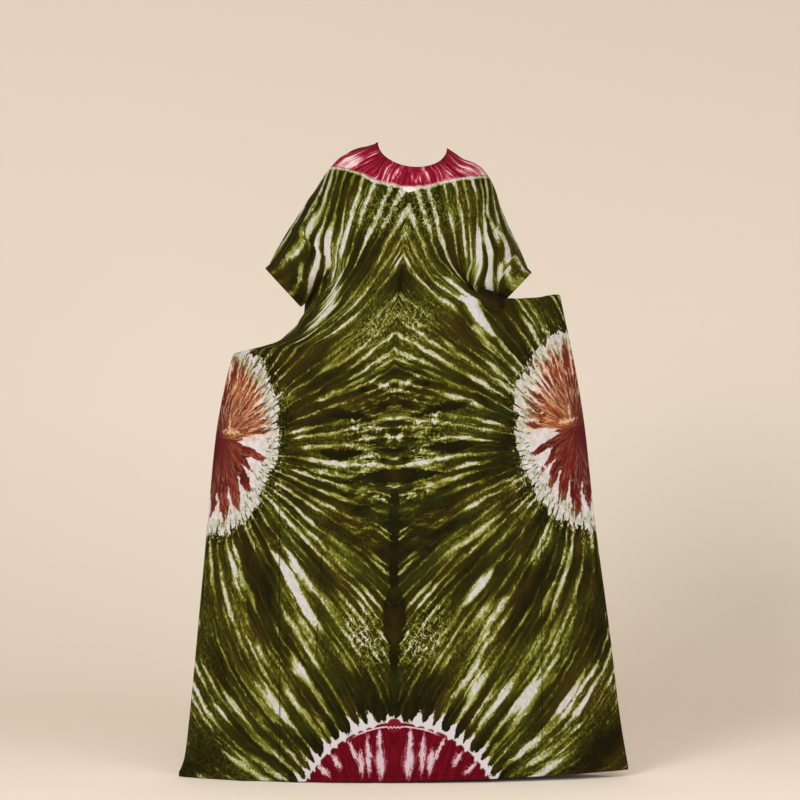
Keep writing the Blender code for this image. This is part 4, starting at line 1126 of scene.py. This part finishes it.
def panel(name, side, material):
    grid = FRONT if side == "front" else BACK
    sign = -1 if side == "front" else 1
    out = outward(grid, sign)
    lift = np.full(grid.shape[:2], 0.0010)
    seam = np.abs(grid[..., 1]) < 0.004
    lift[seam] = 0.0004
    beside = seam
    out[..., 1] = np.where(beside, sign * np.maximum(sign * out[..., 1], 0.3), out[..., 1])
    points = grid + out * (lift + creased(grid, SHARE, side))[..., None]
    # the two panels meet without a gap at the side seams and along the shoulders
    points[..., 1] = np.where(seam, -sign * 0.00015, sign * np.maximum(sign * points[..., 1], 0.0012))
    maps = dye_maps(FRONT, SHARE, VV, side)
    thing = cloth_mesh(name, points.reshape(-1, 3), grid_faces(*grid.shape[:2]), maps, material)
    thicken(thing, CLOTH)
    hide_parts(side + "_panel")
    return thing, points


tree, colour = tie_dye("tie dyed cotton with painted shade")
cotton = finish_cloth(tree, colour)
front, front_points = panel("front_cloth", "front", cotton)
back, back_points = panel("back_cloth", "back", cotton)

# ------------------------------------------------------------------ hems
HEM_WIDTH, SLEEVE_HEM_WIDTH, NECK_EDGE = 0.008, 0.012, 0.006


def band(name, rows, maps, material, node, ring=False, thick=0.0016):
    """A folded edge: rows of points that run from the panel's cut edge to the fold."""
    thing = cloth_mesh(name, rows.reshape(-1, 3), grid_faces(*rows.shape[:2], ring=ring), maps, material)
    thicken(thing, thick)
    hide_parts(node)
    return thing


def repeated(maps, rows, down=0.0):
    made = {}
    for key, values in maps.items():
        made[key] = np.repeat(values[None], rows, axis=0)
    return made


def bottom_hem(name, points, share, side, sign):
    row = points[-1]
    tangent = np.gradient(row, axis=0)
    normal = np.cross(tangent, [0, 0, 1.0])
    normal /= np.linalg.norm(normal, axis=1, keepdims=True)
    normal *= sign * np.sign(normal[len(row) // 2, 1])
    drops = np.array([-0.0030, 0.0, 0.003, 0.006, HEM_WIDTH])
    lift = np.array([0.0006, 0.0010, 0.0012, 0.0010, 0.0004])
    rows = row[None] - drops[:, None, None] * np.array([0, 0, 1.0]) + normal[None] * lift[:, None, None]
    v = np.repeat((CUT_LENGTH + drops)[:, None], len(row), axis=1)
    maps = dye_maps(rows, np.repeat(share[-1][None], len(drops), axis=0), v, side)
    return band(name, rows, maps, cotton, side + "_hem")


front_hem = bottom_hem("front_hem_cloth", front_points, SHARE, "front", -1)
back_hem = bottom_hem("back_hem_cloth", back_points, SHARE, "back", 1)


def opening_frame(shoulder, top):
    tip = np.array([shoulder[-1].x, 0, shoulder[-1].z])
    arm = np.array([top[0].x, 0, top[0].z])
    long = np.linalg.norm(arm - tip)
    line = (arm - tip) / long
    beyond = np.array([line[2], 0, -line[0]])
    return tip, long, line, beyond * np.sign(beyond[0] * shoulder[-1].x)


def sleeve_hem(name, shoulder, top, end):
    tip, long, line, beyond = opening_frame(shoulder, top)
    short = 0.0012
    centre = tip + line * (long / 2 - short)
    turn = np.arange(144) / 144 * 2 * np.pi
    loop = centre + (-np.cos(turn) * (long / 2 - short))[:, None] * line + (-np.sin(turn) * (OPENING_BULGE - 0.0004))[:, None] * np.array([0, 1, 0])
    normal = (-2 * np.cos(turn) / long)[:, None] * line + (-np.sin(turn) / OPENING_BULGE)[:, None] * np.array([0, 1, 0])
    normal /= np.linalg.norm(normal, axis=1, keepdims=True)
    steps = np.array([-0.0030, 0.0, 0.004, 0.008, SLEEVE_HEM_WIDTH])
    lift = np.array([0.0004, 0.0006, 0.0008, 0.0006, -0.0002])
    rows = loop[None] + steps[:, None, None] * beyond + normal[None] * lift[:, None, None]
    v = np.where(turn <= np.pi, turn, 2 * np.pi - turn) / np.pi * ARM_OPENING
    share = end * (1 + steps[:, None] / HALF_CLOTH) * np.ones(len(turn))
    maps = dye_maps(rows, share, np.repeat(v[None], len(steps), axis=0), "front")
    return band(name + "_cloth", rows, maps, cotton, name, ring=True)


left_sleeve = sleeve_hem("left_sleeve_hem", LEFT_SHOULDER, LEFT_TOP_EDGE, -1)
right_sleeve = sleeve_hem("right_sleeve_hem", RIGHT_SHOULDER, RIGHT_TOP_EDGE, 1)


def neck_frame(loop):
    tangent = np.roll(loop, -1, axis=0) - np.roll(loop, 1, axis=0)
    tangent /= np.linalg.norm(tangent, axis=1, keepdims=True)
    hole = (loop[:, 0].max() + loop[:, 0].min()) / 2
    across = (loop[:, 0] - hole) / NECK_HALF_WIDTH
    depth = np.where(loop[:, 1] < 0, loop[:, 1] / FRONT_NECK_REACH, loop[:, 1] / BACK_NECK_REACH)
    normal = np.stack([0.55 * across, 0.97 * depth, 0.25 + 0.62 * across**2], axis=1)
    normal -= tangent * (normal * tangent).sum(axis=1, keepdims=True)
    normal /= np.linalg.norm(normal, axis=1, keepdims=True)
    inward = np.cross(normal, tangent)
    toward = np.stack([-across, -depth, np.full(len(loop), 0.6)], axis=1)
    inward *= np.sign((inward * toward).sum(axis=1, keepdims=True))
    return normal, inward


def neck_edge():
    a, b = FRONT[0, NECK_FIRST : NECK_LAST + 1], BACK[0, NECK_FIRST : NECK_LAST + 1]
    loop = np.concatenate([a, b[1:-1][::-1]])
    share = np.concatenate([SHARE[0, NECK_FIRST : NECK_LAST + 1], SHARE[0, NECK_FIRST + 1 : NECK_LAST][::-1]])
    loop[[0, NECK_LAST - NECK_FIRST], 1] = 0
    normal, inward = neck_frame(loop)
    steps = np.array([-0.0030, 0.0, 0.003, NECK_EDGE])
    lift = np.array([0.0008, 0.0010, 0.0012, 0.0006])
    rows = loop[None] + steps[:, None, None] * inward + normal[None] * lift[:, None, None]
    maps = dye_maps(rows, np.repeat(share[None], len(steps), axis=0), np.zeros((len(steps), len(loop))), "front")
    return band("neck_edge_cloth", rows, maps, cotton, "neck_binding", ring=True)


neck = neck_edge()

# ------------------------------------------------------------------ floor, light and camera
FLOOR = -1.4462


def backdrop():
    run = [(-7.0, FLOOR), (1.2, FLOOR)]
    for i in range(1, 25):
        a = i / 24 * np.pi / 2
        run.append((1.2 + 1.1 * np.sin(a), FLOOR + 1.1 * (1 - np.cos(a))))
    run.append((2.3, 5.0))
    points = [(x, y, z) for y, z in run for x in (-7.0, 7.0)]
    faces = [(2 * i, 2 * i + 1, 2 * i + 3, 2 * i + 2) for i in range(len(run) - 1)]
    mesh = bpy.data.meshes.new("backdrop")
    mesh.from_pydata(points, [], faces)
    mesh.shade_smooth()
    t = Tree("pale paper")
    where = t.node("ShaderNodeNewGeometry")
    _, _, high = t.split(Value(t, where.outputs["Position"]))
    # painted shade: the paper's colour is lightest on the floor and darkens toward the top of the wall
    t.put(t.shader.inputs["Base Color"], t.ramp((high + 1.45) / 2.4, [(0.0, lin(247, 235, 220)), (0.35, lin(246, 236, 224)), (0.85, lin(234, 224, 210)), (1.0, lin(230, 220, 206))]))
    t.shader.inputs["Roughness"].default_value = 0.95
    t.shader.inputs["Specular IOR Level"].default_value = 0.1
    # the paper shows from its front only, so that it never hides the back of the robe
    through, either = t.node("ShaderNodeBsdfTransparent"), t.node("ShaderNodeMixShader")
    t.links.new(where.outputs["Backfacing"], either.inputs[0])
    t.links.new(t.shader.outputs[0], either.inputs[1])
    t.links.new(through.outputs[0], either.inputs[2])
    t.links.new(either.outputs[0], t.output.inputs["Surface"])
    mesh.materials.append(t.material)
    thing = bpy.data.objects.new("backdrop", mesh)
    scene.collection.objects.link(thing)
    return thing


backdrop()


def light(name, place, aim, size, power, colour=(1, 1, 1)):
    lamp = bpy.data.lights.new(name, "AREA")
    lamp.shape, lamp.size, lamp.energy, lamp.color = "DISK", size, power, colour
    thing = bpy.data.objects.new(name, lamp)
    thing.location = place
    thing.rotation_euler = (Vector(aim) - Vector(place)).to_track_quat("-Z", "Y").to_euler()
    scene.collection.objects.link(thing)
    return thing


light("key", (-2.6, -4.6, 1.6), (0, 0, -0.6), 2.2, 165, (1.0, 0.97, 0.93))
light("fill", (3.4, -4.2, 0.2), (0, 0, -0.7), 2.6, 70, (1.0, 0.98, 0.96))
over = light("over the floor", (0.3, -2.0, 1.3), (0.3, -1.1, -1.45), 1.6, 5.5, (1.0, 0.97, 0.95))
over.data.spread = np.radians(75)
world = bpy.data.worlds.new("studio")
scene.world = world
world.use_nodes = True
world.node_tree.nodes["Background"].inputs["Color"].default_value = (1.0, 0.96, 0.91, 1)
world.node_tree.nodes["Background"].inputs["Strength"].default_value = 0.46

lens = bpy.data.cameras.new("camera")
lens.lens, lens.sensor_width = 107.6, 36.0
camera = bpy.data.objects.new("camera", lens)
camera.location = (-0.0276, -5.5, -0.580)
camera.rotation_euler = (np.pi / 2, 0, 0)
scene.collection.objects.link(camera)
scene.camera = camera
scene.view_settings.view_transform = "Standard"
scene.view_settings.look = "None"
